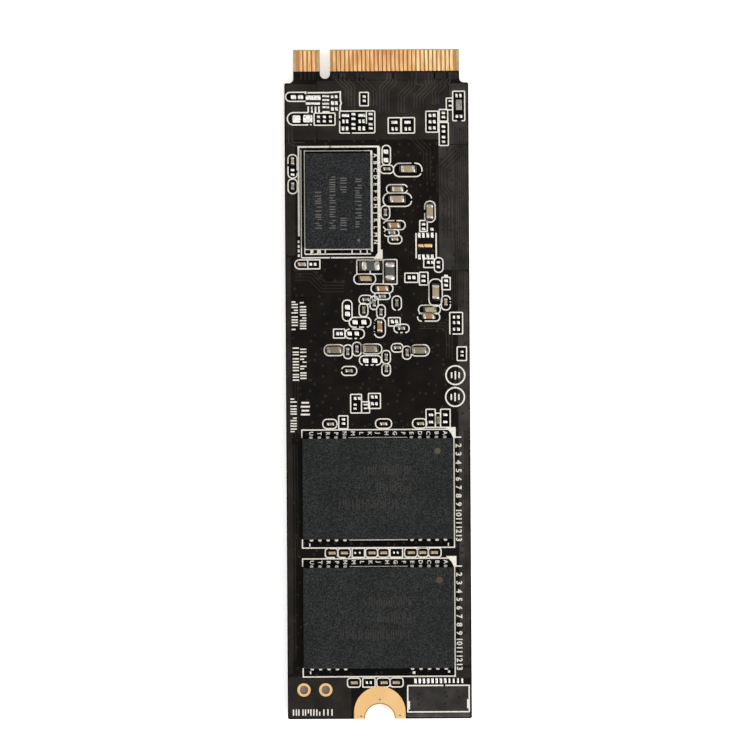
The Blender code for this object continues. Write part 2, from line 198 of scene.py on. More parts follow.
# Tinned pads that carry no chip, as grids: the Xs, the Ys, and each pad's width and length. The largest
# one by itself is dull.
DULL_PAD = (0.70, 1.25)
COMB = [4.25 + 0.509 * number for number in range(12)]
COMB_Y = -35.48
PAD_GRIDS = {
    "connector_pads": [
        ([-9.90, -9.05], [34.33], 0.60, 0.48),
        ([-7.55], [34.25], 1.75, 0.56),
        ([-7.60], [33.55], 1.70, 0.30),
        ([-6.05], [34.42, 33.96, 33.52, 33.10], 0.80, 0.24),
        ([-5.28, -4.80], [34.35], 0.30, 0.36),
        ([-5.25, -4.80], [33.60], 0.32, 0.46),
        ([-5.25, -4.77], [32.90], 0.32, 0.42),
        ([-7.70, -7.27, -6.85], [32.82], 0.20, 0.75),
        ([-9.55], [31.72], 0.90, 0.88),
        ([-8.20], [31.75], 1.08, 0.90),
        ([-8.25, -7.85], [31.02], 0.20, 0.16),
        ([-6.93, -6.23, -5.50], [31.95, 31.43], 0.34, 0.30),
        ([-1.45], [34.35, 33.85], 0.36, 0.30),
        ([-3.70, -1.75], [32.10], 0.85, 0.36),
        ([-3.95, -3.50, -2.00, -1.55], [31.40], 0.27, 0.46),
        ([-4.00, -3.52, -2.03, -1.52], [30.55], 0.30, 0.50),
        ([-2.75, -0.70], [32.25, 31.70, 31.05, 30.55], 0.46, 0.30),
        ([2.15, 3.70], [31.25], 0.72, 0.36),
        ([1.93, 2.38, 3.50, 3.96], [30.47], 0.27, 0.42),
        ([6.40, 6.90], [32.05, 31.30, 30.55], 0.32, 0.40),
        ([8.00], [32.35, 31.85], 0.40, 0.30),
        ([8.00], [30.70, 30.15, 29.45, 28.90], 0.40, 0.32),
        ([8.85], [33.75, 33.20], 0.45, 0.22),
        ([9.58, 10.04], [34.40], 0.26, 0.44),
        ([9.60, 10.10], [31.92], 0.30, 0.36),
        ([9.85], [33.30], *DULL_PAD),
    ],
    "memory_pads": [
        ([-10.05], [25.62, 25.08], 0.42, 0.30),
        ([-7.94, -7.43], [14.36], 0.30, 0.36),
        ([1.10], [27.75, 26.75], 0.54, 0.52),
        ([5.55], [19.05, 18.50], 0.40, 0.30),
        ([6.55], [18.45], 0.36, 0.34),
        ([5.02, 5.52, 6.05, 6.58], [17.75, 15.15], 0.30, 0.62),
        ([6.10, 6.60], [14.50], 0.32, 0.36),
        ([7.30], [14.50, 13.95], 0.40, 0.30),
    ],
    "middle_pads": [
        ([-3.60], [9.20, 8.40], 0.54, 0.56),
        ([-2.70, -1.65], [7.40], 0.56, 0.54),
        ([1.75, 2.25], [7.45], 0.34, 0.44),
        ([-4.80, -4.35], [6.05], 0.34, 0.44),
        ([-3.35, -2.50], [6.05], 0.48, 0.48),
        ([3.80, 4.35], [12.70], 0.34, 0.44),
        ([5.50, 8.20], [12.85, 12.30], 0.44, 0.32),
        ([8.20], [11.75], 0.44, 0.32),
        ([9.64], [7.95, 7.28, 6.50], 0.32, 0.38),
        ([9.12], [7.95, 7.28, 6.50], 0.26, 0.36),
        ([-1.45, -0.40], [2.80], 0.60, 0.54),
        ([10.05], [3.80, 3.35], 0.34, 0.26),
        ([-2.75, -2.25], [-1.70], 0.32, 0.36),
        ([-2.75], [-2.45, -2.92], 0.36, 0.26),
        ([-1.50], [-2.45, -2.90], 0.45, 0.22),
        ([-0.70, -0.22], [-1.55, -2.35], 0.30, 0.38),
    ],
    "flash_pads": [
        ([-4.15], [-4.20, -4.70], 0.40, 0.30),
        ([6.30, 8.00], [-3.72, -4.58], 0.50, 0.32),
        ([-2.86, -2.30, 1.78, 2.22], [BETWEEN_FLASH], 0.20, 0.28),
        ([-1.55, -1.08], [BEHIND_FLASH], 0.24, 0.34),
        (COMB[:8], [COMB_Y], 0.28, 0.62),
        (COMB[8:], [COMB_Y], 0.22, 0.60),
    ],
}

# Printed outlines: left, right, back and front
PILLS = [
    (-10.60, -9.50, 24.65, 27.45),
    (-10.60, -9.50, 22.80, 24.55),
    (0.65, 1.65, 26.15, 28.50),
    (0.40, 2.00, 25.15, 26.15),
    (2.00, 5.40, 24.75, 26.35),
    (1.15, 3.65, 22.80, 23.80),
    (0.75, 4.15, 21.20, 22.80),
    (0.48, 1.52, 19.65, 21.30),
    (5.70, 6.95, 19.30, 21.80),
    (0.75, 3.35, 18.42, 19.50),
    (0.85, 2.60, 17.62, 18.45),
    (1.30, 2.95, 16.75, 17.75),
    (6.80, 7.85, 13.30, 15.05),
    (-2.80, -0.20, 11.95, 13.15),
    (-0.75, 1.85, 10.85, 11.95),
    (-0.35, 1.50, 10.10, 10.90),
    (-2.20, -0.60, 9.55, 10.60),
    (-0.90, 0.08, 8.90, 10.50),
    (1.75, 2.85, 8.80, 10.50),
    (-2.20, -1.15, 8.05, 9.65),
    (-4.20, -3.05, 7.55, 10.05),
    (-3.40, -0.80, 6.80, 7.98),
    (-0.10, 0.92, 7.85, 9.45),
    (-0.40, 0.92, 5.55, 7.90),
    (1.95, 3.75, 6.12, 7.12),
    (-3.88, -1.60, 5.45, 6.58),
    (6.15, 7.75, 9.25, 12.50),
    (7.62, 8.70, 8.80, 10.50),
    (4.90, 7.50, 8.35, 9.38),
    (4.78, 7.42, 7.48, 8.42),
    (-6.40, -4.00, 3.42, 4.72),
    (-4.08, -3.06, 3.05, 4.70),
    (-3.02, -1.98, 3.38, 5.00),
    (-1.92, 0.48, 3.60, 4.78),
    (-2.20, 0.42, 2.28, 3.40),
    (0.48, 1.50, 2.42, 4.00),
    (0.48, 1.50, 0.98, 2.42),
    (-4.35, -2.52, 1.05, 2.12),
    (1.62, 3.02, 3.80, 4.82),
    (2.95, 4.00, 2.95, 4.50),
    (3.92, 6.15, 3.32, 4.65),
    (-6.62, -4.92, -5.30, -4.18),
    (-0.32, 1.60, -5.30, -4.18),
    (4.10, 5.80, -5.30, -4.18),
]
# Outlines of the rows beside the flash packages, with smaller corners
ROW_OUTLINES = [
    (-6.42, -4.94, *BETWEEN_FLASH_OUTLINE),
    (-4.88, -3.42, *BETWEEN_FLASH_OUTLINE),
    (-1.60, -0.18, *BETWEEN_FLASH_OUTLINE),
    (-0.12, 1.22, *BETWEEN_FLASH_OUTLINE),
    (3.05, 4.58, *BETWEEN_FLASH_OUTLINE),
    (4.62, 5.88, *BETWEEN_FLASH_OUTLINE),
    (5.92, 7.42, *BETWEEN_FLASH_OUTLINE),
    (-3.85, -2.30, *BEHIND_FLASH_OUTLINE),
    (-0.35, 1.22, *BEHIND_FLASH_OUTLINE),
    (1.26, 2.80, *BEHIND_FLASH_OUTLINE),
]
BOXES = [
    (-7.45, -4.95, 30.95, 32.40),
    (-2.00, -0.95, 33.25, 34.85),
    (-4.40, -0.20, 30.00, 32.62),
    (1.40, 2.90, 29.95, 31.80),
    (2.98, 4.55, 29.95, 31.80),
    (5.90, 7.35, 30.05, 32.55),
    (7.50, 8.52, 31.35, 32.75),
    (7.48, 8.58, 28.45, 31.20),
    (8.35, 9.10, 32.70, 34.10),
    (9.12, 10.55, 31.40, 34.92),
    (5.10, 6.00, 18.20, 19.50),
    (5.55, 6.80, 13.88, 14.95),
    (-2.45, 0.70, 13.15, 14.82),
    (0.72, 2.35, 11.92, 14.85),
    (1.30, 2.70, 6.92, 7.92),
    (-5.28, -3.92, 5.52, 6.58),
    (3.28, 4.85, 12.12, 13.22),
    (5.02, 6.05, 11.80, 13.32),
    (7.70, 8.70, 11.22, 12.70),
    (8.62, 10.15, 5.92, 8.50),
    (9.48, 10.60, 2.75, 4.38),
    (-3.28, -1.98, -3.45, -1.22),
    (-1.98, -1.02, -3.45, -2.12),
    (-1.15, 0.28, -2.92, -1.12),
    (-4.72, -3.62, -5.32, -3.78),
    (5.72, 6.82, -5.22, -3.05),
    (6.84, 7.44, -5.22, -3.52),
    (7.46, 8.60, -5.22, -3.05),
    (-3.20, -1.72, *BETWEEN_FLASH_OUTLINE),
    (1.32, 2.82, *BETWEEN_FLASH_OUTLINE),
    (-2.02, -0.55, *BEHIND_FLASH_OUTLINE),
    (-8.30, -6.86, 13.80, 14.88),
]

# Open printed lines: their width and their corners
LINES = [
    (0.17, [(-8.22, 34.84), (-5.80, 34.84), (-4.30, 34.92), (-4.30, 33.90), (-4.18, 33.60), (-4.32, 33.25),
            (-4.32, 32.60)]),
    (0.17, [(-8.15, 33.20), (-8.15, 32.48)]),
    (0.17, [(-6.45, 32.55), (-5.60, 32.55)]),
    (0.13, [(-1.20, 31.10), (-1.20, 32.60)]),
    (0.30, [(-8.55, 34.84), (-8.35, 34.84)]),
    (0.16, [(4.65, 15.00), (4.65, 18.00)]),
    (0.16, [(7.05, 15.00), (7.05, 18.00)]),
    (0.16, [(-0.85, 13.20), (-0.85, 14.80)]),
    (0.16, [(3.34, -36.05), (7.60, -36.05)]),
    (0.16, [(7.84, -36.05), (10.68, -36.05), (10.68, -39.20), (3.34, -39.20), (3.34, -36.05)]),
    (0.30, [(3.45, -38.90), (3.45, -37.90)]),
    (0.30, [(10.58, -38.80), (10.58, -37.70)]),
    # Ticks in the corners of the flash sites, and specks of ink
    (0.13, [(-8.25, -19.38), (-8.25, -19.02)]),
    (0.13, [(8.30, -19.38), (8.30, -19.02)]),
    (0.13, [(-8.25, -34.62), (-8.25, -34.26)]),
    (0.26, [(8.18, -34.40), (8.42, -34.40)]),
    (0.30, [(3.95, -34.50), (4.28, -34.50)]),
    (0.36, [(-7.95, 15.90), (-7.62, 15.90)]),
    (0.36, [(-7.10, 15.90), (-6.80, 15.90)]),
    # Around the memory package
    (0.21, [(0.30, 28.37), (-5.50, 28.37)]),
    (0.21, [(-5.62, 28.37), (-9.34, 28.37), (-9.34, 17.70)]),
    (0.11, [(-9.06, 28.00), (-9.06, 15.12)]),
    (0.15, [(-9.06, 15.12), (-5.65, 15.12)]),
    (0.15, [(-5.50, 15.12), (0.30, 15.12)]),
    (0.10, [(-8.64, 27.95), (-8.64, 15.55)]),
    (0.14, [(-8.64, 15.55), (-0.75, 15.55)]),
    (0.08, [(-8.66, 27.88), (-0.60, 27.88)]),
    (0.13, [(-8.66, 16.12), (-0.60, 16.12)]),
    (0.24, [(-0.63, 27.88), (-0.63, 15.80)]),
    (0.34, [(0.24, 28.36), (0.24, 15.60)]),
]
LINES += [(0.14, [(x, 15.55), (x, 16.12)]) for x in (-7.90, -7.10, -6.80, -6.20, -3.00, -2.00, -1.20)]
LINES += [(0.20, [(-9.38, y), (-9.38, y - 0.32)]) for y in (17.20, 16.65, 16.10, 15.55)]

# Where the ink of an outline is interrupted: how far a gap reaches, and the X and Y of each such gap
PRINT_GAPS = {
    0.09: [(8.70, 9.95), (8.70, 9.58)],
    0.10: [(-0.40, 7.42), (-0.40, 7.12), (-0.40, 6.10), (-2.95, 5.45), (-3.05, 30.00), (-4.40, 31.60),
           (2.20, 19.50), (-6.00, -19.62), (8.80, 5.92)],
    0.12: [(-0.40, 6.45), (-3.20, 6.58), (2.55, 6.12), (3.15, 6.12), (2.30, 8.80), (5.40, 25.20),
           (-10.60, 26.20), (-9.50, 25.40)],
    0.13: [(-1.65, 2.28), (-1.00, 2.28), (-0.37, 2.28), (-2.35, 6.80), (-1.45, 6.80), (-2.90, 5.45),
           (-2.30, 5.45), (5.45, 7.48), (-4.33, 1.66)],
    0.14: [(4.30, 26.35), (3.65, 23.30), (4.15, 22.00), (0.75, 19.00), (0.85, 18.00), (-5.10, -20.70),
           (-3.80, -20.70)],
    0.16: [(4.85, 8.20), (5.70, 20.60)],
    0.22: [(9.90, 31.40)],
}

# Pills whose right end is open
OPEN_PILLS = [
    (-10.85, -8.45, 33.82, 34.90),
    (-10.65, -8.15, 31.00, 32.48),
    (-9.85, -8.30, 13.80, 14.88),
]

# The solid mark at the first corner of the memory package
MEMORY_CORNER_MARK = [(-0.42, 14.95), (0.64, 14.95), (0.64, 16.05), (0.30, 16.05)]

# Traces under the mask, as bundles: how many, their pitch, and the corners of the first one. The ones at
# the connector stand out more than the others.
CONNECTOR_BUNDLES = [
    (4, 0.36, [(-4.9, 37.2), (-4.9, 36.4), (-3.7, 35.2), (-3.7, 33.2)]),
    (3, 0.36, [(-2.6, 37.2), (-2.6, 36.6), (-0.7, 34.7), (-0.7, 33.2)]),
    (4, 0.36, [(1.3, 37.2), (1.3, 36.4), (0.4, 35.5), (0.4, 32.4)]),
    (3, 0.36, [(3.9, 37.2), (3.9, 35.8), (2.6, 34.5), (2.6, 32.4)]),
    (4, 0.36, [(5.9, 37.2), (5.9, 35.9), (4.5, 34.5), (4.5, 33.0)]),
    (3, 0.36, [(8.1, 37.2), (8.1, 36.4), (6.7, 35.0), (6.7, 33.4)]),
    (2, 0.40, [(-10.5, 32.2), (-10.5, 28.9), (-9.9, 28.5), (-8.6, 28.5)]),
    (1, 0.40, [(4.80, 37.2), (4.80, 35.75), (9.95, 35.75)]),
]
FAINT_BUNDLES = [
    (6, 0.26, [(9.35, 30.6), (9.35, 14.2), (8.95, 13.6), (8.95, 9.4)]),
    (4, 0.40, [(9.3, 28.2), (7.2, 26.1), (7.2, 23.0), (8.0, 22.2), (8.0, 17.4)]),
    (3, 0.40, [(3.9, 29.4), (5.6, 27.7), (5.6, 24.4)]),
    (3, 0.30, [(-10.70, 21.6), (-10.70, 15.6)]),
    (4, 0.38, [(-4.0, 12.2), (-6.3, 12.2), (-7.7, 13.6), (-9.8, 13.6)]),
    (3, 0.34, [(5.0, 6.6), (7.8, 6.6), (8.2, 6.2), (8.2, 3.0)]),
    (4, 0.34, [(-10.6, 1.0), (-10.6, -6.4)]),
    (3, 0.30, [(-10.30, -7.2), (-10.30, -18.0), (-10.60, -18.3), (-10.60, -33.0)]),
    (3, 0.22, [(10.30, -5.6), (10.30, -33.8)]),
    (4, 0.36, [(-4.9, -36.2), (-4.9, -38.6)]),
]

# Copper areas under the mask, as left, right, back and front. The mask looks paler over them. The pale ones
# at the right and the palest strip on the back edge at the right are partly copper and partly painted sheen
# of the light from the right.
COPPER_AREAS = [
    (-10.85, -7.20, 29.20, 35.85),
    (-7.10, 8.60, 29.20, 36.25),
    (-5.35, 9.75, 36.35, 37.20),
    (-10.85, -9.75, 15.40, 29.10),
    (-10.85, -10.35, -34.60, 15.20),
    (-10.85, -3.40, -39.85, -34.90),
    (2.95, 10.85, -35.20, -33.90),
]
COPPER_AREAS_WITH_SHEEN = [
    (8.70, 10.85, 28.60, 35.85),
    (7.40, 10.85, 13.60, 28.50),
    (9.60, 10.85, -33.60, 13.40),
    (3.50, 10.55, -39.05, -36.20),
]
COPPER_AREAS_WITH_BRIGHTEST_SHEEN = [
    (3.20, 10.85, -39.85, -39.36),
]

# Generic strips of ticks where the card carries codes: X, Y, length, height, and whether it runs along Y
PRINT_STRIPS = [
    (-9.90, 8.35, 3.7, 0.75, True),
    (-8.90, 8.35, 3.5, 0.75, True),
    (-9.80, 2.65, 4.4, 0.75, True),
    (-8.90, 2.65, 4.0, 0.75, True),
    (-10.10, -3.60, 4.2, 0.75, True),
    (-7.90, -39.20, 5.0, 0.75, False),
]

# The same on the packages, where the laser has cut its marks
FLASH_STRIPS = [
    (1.20, -10.30, 5.8, 1.05, False),
    (2.10, -12.30, 4.6, 1.05, False),
    (-0.40, -14.30, 8.6, 1.10, False),
]
LASER_STRIPS = {
    "dram_upper": [
        (-7.00, 20.85, 4.6, 0.75, True),
        (-5.30, 21.75, 6.4, 0.70, True),
        (-4.00, 19.30, 1.8, 0.75, True),
        (-4.00, 23.95, 2.2, 0.75, True),
        (-2.20, 21.70, 6.0, 0.75, True),
    ],
    "flash_a": FLASH_STRIPS,
    "flash_b": [(x, y - FLASH_STEP, *rest) for x, y, *rest in FLASH_STRIPS],
}

# The dot by the first ball of each package: X, Y and radius
FIRST_BALL_DOTS = {
    "dram_upper": (-2.20, 17.15, 0.17),
    "flash_a": (7.05, -8.00, 0.38),
    "flash_b": (7.20, -23.40, 0.38),
}

ROW_LETTERS = "ABCDEFGHJKLMNPRTU"
LETTER_SIZE = 0.78 * MM / 0.72 * 0.62
NUMBER_SIZE = 0.78 * MM / 0.72 * 0.88

# Ball grids: the pitch, the columns and rows on each side of the middle, the middle columns that are left
# free, and the middle rows that have balls there all the same, -1 for none
BALL_RADIUS = 0.20 * MM
BALL_GRIDS = {
    **{f"dram_{side}": (0.8, 4, 6, 1, -1) for side, _ in SIDES},
    **{f"flash_{letter}": (1.0, 8, 5, 3, 1) for letter in "abcd"},
    "controller": (0.8, 8, 8, 2, -1),
}


def height(side, rise):
    """The Z of what stands this far out from the bare laminate of a side."""
    if side == UPPER:
        return board_high.z + rise
    return board_low.z - rise


def layer(side, start, rise):
    """The lowest and highest Z of a layer between two distances out from the bare laminate of a side."""
    return sorted((height(side, start), height(side, rise)))


def metres(row):
    return tuple(value * MM for value in row)


def middle(node):
    """The X and Y of a CAD node's middle."""
    low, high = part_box(node)
    return (low.x + high.x) / 2, (low.y + high.y) / 2


# ---------------------------------------------------------------------------------------------------
# Shapes
# ---------------------------------------------------------------------------------------------------


def arc(centre_x, centre_y, radius, start, end, steps=CORNER_STEPS):
    """Points on an arc, with its angles in degrees counted from +X."""
    points = []
    for step in range(steps + 1):
        angle = math.radians(start + (end - start) * step / steps)
        points.append((centre_x + radius * math.cos(angle), centre_y + radius * math.sin(angle)))
    return points


def circle(centre_x, centre_y, radius, steps=24):
    return arc(centre_x, centre_y, radius, 0.0, 360.0, steps)[:-1]


def rounded_rectangle(left, right, back, front, corner, steps=CORNER_STEPS):
    return [
        *arc(right - corner, back + corner, corner, -90.0, 0.0, steps),
        *arc(right - corner, front - corner, corner, 0.0, 90.0, steps),
        *arc(left + corner, front - corner, corner, 90.0, 180.0, steps),
        *arc(left + corner, back + corner, corner, 180.0, 270.0, steps),
    ]


def centred_rectangle(x, y, width, length, corner, steps=2):
    half_x = width / 2
    half_y = length / 2
    return rounded_rectangle(x - half_x, x + half_x, y - half_y, y + half_y, corner, steps)


def offset_line(points, distance, closed=False):
    """The same line, moved sideways by this distance, with mitred corners."""
    moved = []
    last = len(points) - 1
    for index, point in enumerate(points):
        here = Vector(point)
        before = Vector(points[index - 1]) if closed or index > 0 else None
        after = Vector(points[(index + 1) % len(points)]) if closed or index < last else None
        incoming = (here - before).normalized() if before else (after - here).normalized()
        outgoing = (after - here).normalized() if after else incoming
        tangent = (incoming + outgoing).normalized()
        sideways = Vector((-tangent.y, tangent.x))
        stretch = max(sideways.dot(Vector((-outgoing.y, outgoing.x))), 0.4)
        moved.append(tuple(here + sideways * distance / stretch))
    return moved


def loft(shape, rings, closed=False, material=0):
    """A closed solid through rings of points; a closed one runs back into its first ring."""
    loops = [[shape.verts.new(point) for point in ring] for ring in rings]
    faces = []
    following = loops[1:] + loops[:1] if closed else loops[1:]
    for near, far in zip(loops, following):
        for index, corner in enumerate(near):
            beside = (index + 1) % len(near)
            faces.append(shape.faces.new((corner, near[beside], far[beside], far[index])))
    if not closed:
        faces.append(shape.faces.new(loops[0][::-1]))
        faces.append(shape.faces.new(loops[-1]))
    for face in faces:
        face.material_index = material


def at_height(outline, z):
    return [(x, y, z) for x, y in outline]


def prism(shape, outline, low, high, material=0):
    loft(shape, [at_height(outline, low), at_height(outline, high)], material=material)


def ribbon(shape, points, width, low, high, closed=False):
    """A flat strip of this width along a line."""
    lefts = offset_line(points, width / 2, closed)
    rights = offset_line(points, -width / 2, closed)
    rings = [
        [(*left, low), (*right, low), (*right, high), (*left, high)]
        for left, right in zip(lefts, rights)
    ]
    loft(shape, rings, closed)


def turned(shape, x, y, profile, steps):
    """A closed ring turned about a vertical axis, from a profile of (radius, Z)."""
    rings = []
    for step in range(steps):
        angle = 2 * math.pi * step / steps
        rings.append([(x + r * math.cos(angle), y + r * math.sin(angle), z) for r, z in profile])
    loft(shape, rings, closed=True)


def stacked(shape, x, y, profile, steps, material=0):
    """A solid of round layers, from a profile of (radius, Z)."""
    loft(shape, [at_height(circle(x, y, r, steps), z) for r, z in profile], material=material)


def block(shape, centre, size, rounding, material):
    """A box with rounded edges."""
    before = set(shape.faces)
    corners = bmesh.ops.create_cube(shape, size=1.0)["verts"]
    bmesh.ops.scale(shape, vec=size, verts=corners)
    bmesh.ops.translate(shape, vec=centre, verts=corners)
    edges = list({edge for corner in corners for edge in corner.link_edges})
    bmesh.ops.bevel(shape, geom=edges, offset=rounding, segments=2, profile=0.5, affect="EDGES")
    for face in set(shape.faces) - before:
        face.material_index = material


def evaluated_mesh(source):
    """The mesh that a curve or a text makes. The source itself is removed."""
    bpy.context.view_layer.update()
    graph = bpy.context.evaluated_depsgraph_get()
    mesh = bpy.data.meshes.new_from_object(source.evaluated_get(graph))
    bpy.data.objects.remove(source, do_unlink=True)
    return mesh


def plate(name, loops, low, high):
    """A mesh with this outline, and holes where further loops lie inside it."""
    curve = bpy.data.curves.new(name, "CURVE")
    curve.dimensions = "2D"
    curve.fill_mode = "BOTH"
    curve.extrude = (high - low) / 2
    for loop in loops:
        spline = curve.splines.new("POLY")
        spline.points.add(len(loop) - 1)
        for point, (x, y) in zip(spline.points, loop):
            point.co = (x, y, 0.0, 1.0)
        spline.use_cyclic_u = True
    outline = bpy.data.objects.new(name, curve)
    bpy.context.scene.collection.objects.link(outline)
    mesh = evaluated_mesh(outline)
    shape = bmesh.new()
    shape.from_mesh(mesh)
    bpy.data.meshes.remove(mesh)
    bmesh.ops.remove_doubles(shape, verts=shape.verts, dist=0.0001 * MM)
    bmesh.ops.translate(shape, vec=(0.0, 0.0, (low + high) / 2), verts=shape.verts)
    return shape


def add_piece(name, shape, materials, replaced=(), smooth=None):
    """Makes the shape a named piece of the object, and lets go of the bmesh."""
    bmesh.ops.recalc_face_normals(shape, faces=shape.faces)
    mesh = bpy.data.meshes.new(name)
    shape.to_mesh(mesh)
    shape.free()
    for material in materials:
        mesh.materials.append(material)
    if smooth:
        mesh.shade_smooth()
        mesh.set_sharp_from_angle(angle=math.radians(smooth))
    piece = bpy.data.objects.new(name, mesh)
    bpy.context.scene.collection.objects.link(piece)
    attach(piece, "root")
    if replaced:
        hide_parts(*replaced)


def dress(node, material):
    """Gives a CAD node that stays its finish."""
    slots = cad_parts[node].data.materials
    slots.clear()
    slots.append(material)


# ---------------------------------------------------------------------------------------------------
# Materials
# ---------------------------------------------------------------------------------------------------


class Finish:
    """A Principled material whose colour, roughness and relief come from noise in object space."""

    def __init__(self, name, roughness, metallic=0.0, specular=0.5):
        self.material = bpy.data.materials.new(name)
        self.material.use_nodes = True
        self.nodes = self.material.node_tree.nodes
        self.links = self.material.node_tree.links
        self.shader = self.nodes["Principled BSDF"]
        self.shader.inputs["Roughness"].default_value = roughness
        self.shader.inputs["Metallic"].default_value = metallic
        self.shader.inputs["Specular IOR Level"].default_value = specular
        self.place = self.nodes.new("ShaderNodeTexCoord").outputs["Object"]
        self.relief = None

    def noise(self, size, stretch=(1.0, 1.0, 1.0), detail=3.0):
        """Noise whose features are about this many metres across, longer where the stretch is larger."""
        mapping = self.nodes.new("ShaderNodeMapping")
        mapping.inputs["Scale"].default_value = tuple(1.0 / (size * part) for part in stretch)
        texture = self.nodes.new("ShaderNodeTexNoise")
        texture.inputs["Scale"].default_value = 1.0
        texture.inputs["Detail"].default_value = detail
        self.links.new(self.place, mapping.inputs["Vector"])
        self.links.new(mapping.outputs["Vector"], texture.inputs["Vector"])
        return texture.outputs["Fac"]

    def wave(self, size, direction):
        """Even bands this many metres apart."""
        texture = self.nodes.new("ShaderNodeTexWave")
        texture.bands_direction = direction
        texture.inputs["Scale"].default_value = 0.314 / size
        texture.inputs["Distortion"].default_value = 0.6
        self.links.new(self.place, texture.inputs["Vector"])
        return texture.outputs["Fac"]

    def colours(self, value, stops):
        """Sets the base colour from a value, by stops of (position, colour)."""
        self.links.new(self.ramp(value, stops), self.shader.inputs["Base Color"])

    def ramp(self, value, stops):
        """A colour that goes from stop to stop with a value."""
        node = self.nodes.new("ShaderNodeValToRGB")
        elements = node.color_ramp.elements
        while len(elements) < len(stops):
            elements.new(1.0)
        for element, (position, colour) in zip(elements, stops):
            element.position = position
            element.color = (*colour, 1.0)
        self.links.new(value, node.inputs["Fac"])
        return node.outputs["Color"]

    def product(self, first, second):
        """Sets the base colour to two colours multiplied."""
        node = self.nodes.new("ShaderNodeMix")
        node.data_type = "RGBA"
        node.blend_type = "MULTIPLY"
        factor, colour_a, colour_b = (node.inputs[number] for number in (0, 6, 7))
        factor.default_value = 1.0
        self.links.new(first, colour_a)
        self.links.new(second, colour_b)
        self.links.new(node.outputs[2], self.shader.inputs["Base Color"])

    def roughness(self, value, low, high):
        """Spreads the roughness between two amounts by a value."""
        spread = self.nodes.new("ShaderNodeMapRange")
        spread.inputs["To Min"].default_value = low
        spread.inputs["To Max"].default_value = high
        self.links.new(value, spread.inputs["Value"])
        self.links.new(spread.outputs["Result"], self.shader.inputs["Roughness"])

    def bump(self, value, depth, strength=1.0):
        """Adds relief of this depth in metres on top of what is there."""
        node = self.nodes.new("ShaderNodeBump")
        node.inputs["Strength"].default_value = strength
        node.inputs["Distance"].default_value = depth
        self.links.new(value, node.inputs["Height"])
        if self.relief:
            self.links.new(self.relief, node.inputs["Normal"])
        self.relief = node.outputs["Normal"]
        self.links.new(self.relief, self.shader.inputs["Normal"])


def scaled(colour, factor):
    return tuple(min(part * factor, 1.0) for part in colour)


def mask_material(name, colour, specular):
    """Black solder mask: satin, mottled, with a hint of the glass weave under it."""
    finish = Finish(name, roughness=0.45, specular=specular)
    broad = finish.noise(2.2 * MM, detail=4.0)
    finish.colours(broad, [(0.30, scaled(colour, 0.45)), (0.52, colour), (0.72, scaled(colour, 1.7))])
    finish.roughness(finish.noise(0.7 * MM), 0.36, 0.56)
    finish.bump(finish.noise(0.22 * MM), 0.004 * MM, 0.6)
    finish.bump(finish.wave(0.55 * MM, "X"), 0.0015 * MM, 0.4)
    finish.bump(finish.wave(0.55 * MM, "Y"), 0.0015 * MM, 0.4)
    return finish.material


def laminate_material():
    """Bare glass and epoxy laminate: khaki, woven, with its plies showing on the cut edge."""
    finish = Finish("bare_laminate", roughness=0.55, specular=0.35)
    plies = finish.ramp(finish.wave(0.16 * MM, "Z"), [(0.35, (0.45, 0.35, 0.17)), (0.75, (0.58, 0.49, 0.29))])
    blotches = finish.ramp(finish.noise(0.5 * MM), [(0.35, (0.70, 0.68, 0.62)), (0.70, (1.0, 1.0, 1.0))])
    finish.product(plies, blotches)
    finish.bump(finish.noise(0.12 * MM), 0.006 * MM, 0.7)
    finish.bump(finish.wave(0.45 * MM, "X"), 0.003 * MM, 0.5)
    return finish.material


def gold_material(name, colour, patch, contrast, roughness):
    """Gold plating: paler and browner patches of this size, and the fine grain of the plating."""
    finish = Finish(name, roughness=roughness, metallic=1.0)
    patches = finish.noise(1.0, patch, detail=2.0)
    brown = tuple(part * (1.0 - contrast * loss) for part, loss in zip(colour, (0.45, 0.75, 1.0)))
    pale = tuple(min(part * (1.0 + contrast * gain), 1.0) for part, gain in zip(colour, (0.3, 0.8, 1.3)))
    finish.colours(patches, [(0.34, brown), (0.50, colour), (0.68, pale)])
    grain = finish.noise(0.06 * MM)
    finish.roughness(grain, roughness - 0.06, roughness + 0.10)
    finish.bump(grain, 0.0010 * MM, 0.5)
    return finish.material


def tin_material(name, colour, roughness):
    """Solder: soft silver, wrinkled and a little uneven in shine."""
    finish = Finish(name, roughness=roughness, metallic=1.0)
    clouds = finish.noise(0.20 * MM)
    finish.colours(clouds, [(0.34, scaled(colour, 0.45)), (0.52, colour), (0.78, scaled(colour, 1.05))])
    finish.roughness(clouds, roughness - 0.08, roughness + 0.16)
    finish.bump(finish.noise(0.10 * MM), 0.006 * MM, 0.6)
    return finish.material


def print_material():
    """White ink, thin and a little uneven."""
    finish = Finish("white_print", roughness=0.6, specular=0.3)
    stops = [(0.28, (0.44, 0.41, 0.36)), (0.52, (0.72, 0.69, 0.62)), (0.8, (0.80, 0.78, 0.72))]
    finish.colours(finish.noise(0.12 * MM), stops)
    finish.bump(finish.noise(0.05 * MM), 0.004 * MM, 0.7)
    return finish.material


def mould_material(name, colour):
    """Moulding compound: near black, with pale grains of filler and slow clouds in its skin."""
    finish = Finish(name, roughness=0.6, specular=0.15)
    grain = finish.noise(0.17 * MM, detail=4.0)
    stops = [(0.35, scaled(colour, 0.15)), (0.50, colour), (0.64, scaled(colour, 2.9))]
    base = finish.ramp(grain, stops)
    cloud = finish.ramp(finish.noise(4.0 * MM), [(0.30, (0.60, 0.62, 0.64)), (0.70, (1.0, 1.0, 1.0))])
    finish.product(base, cloud)
    finish.roughness(finish.noise(0.15 * MM), 0.50, 0.72)
    finish.bump(grain, 0.010 * MM, 0.8)
    return finish.material


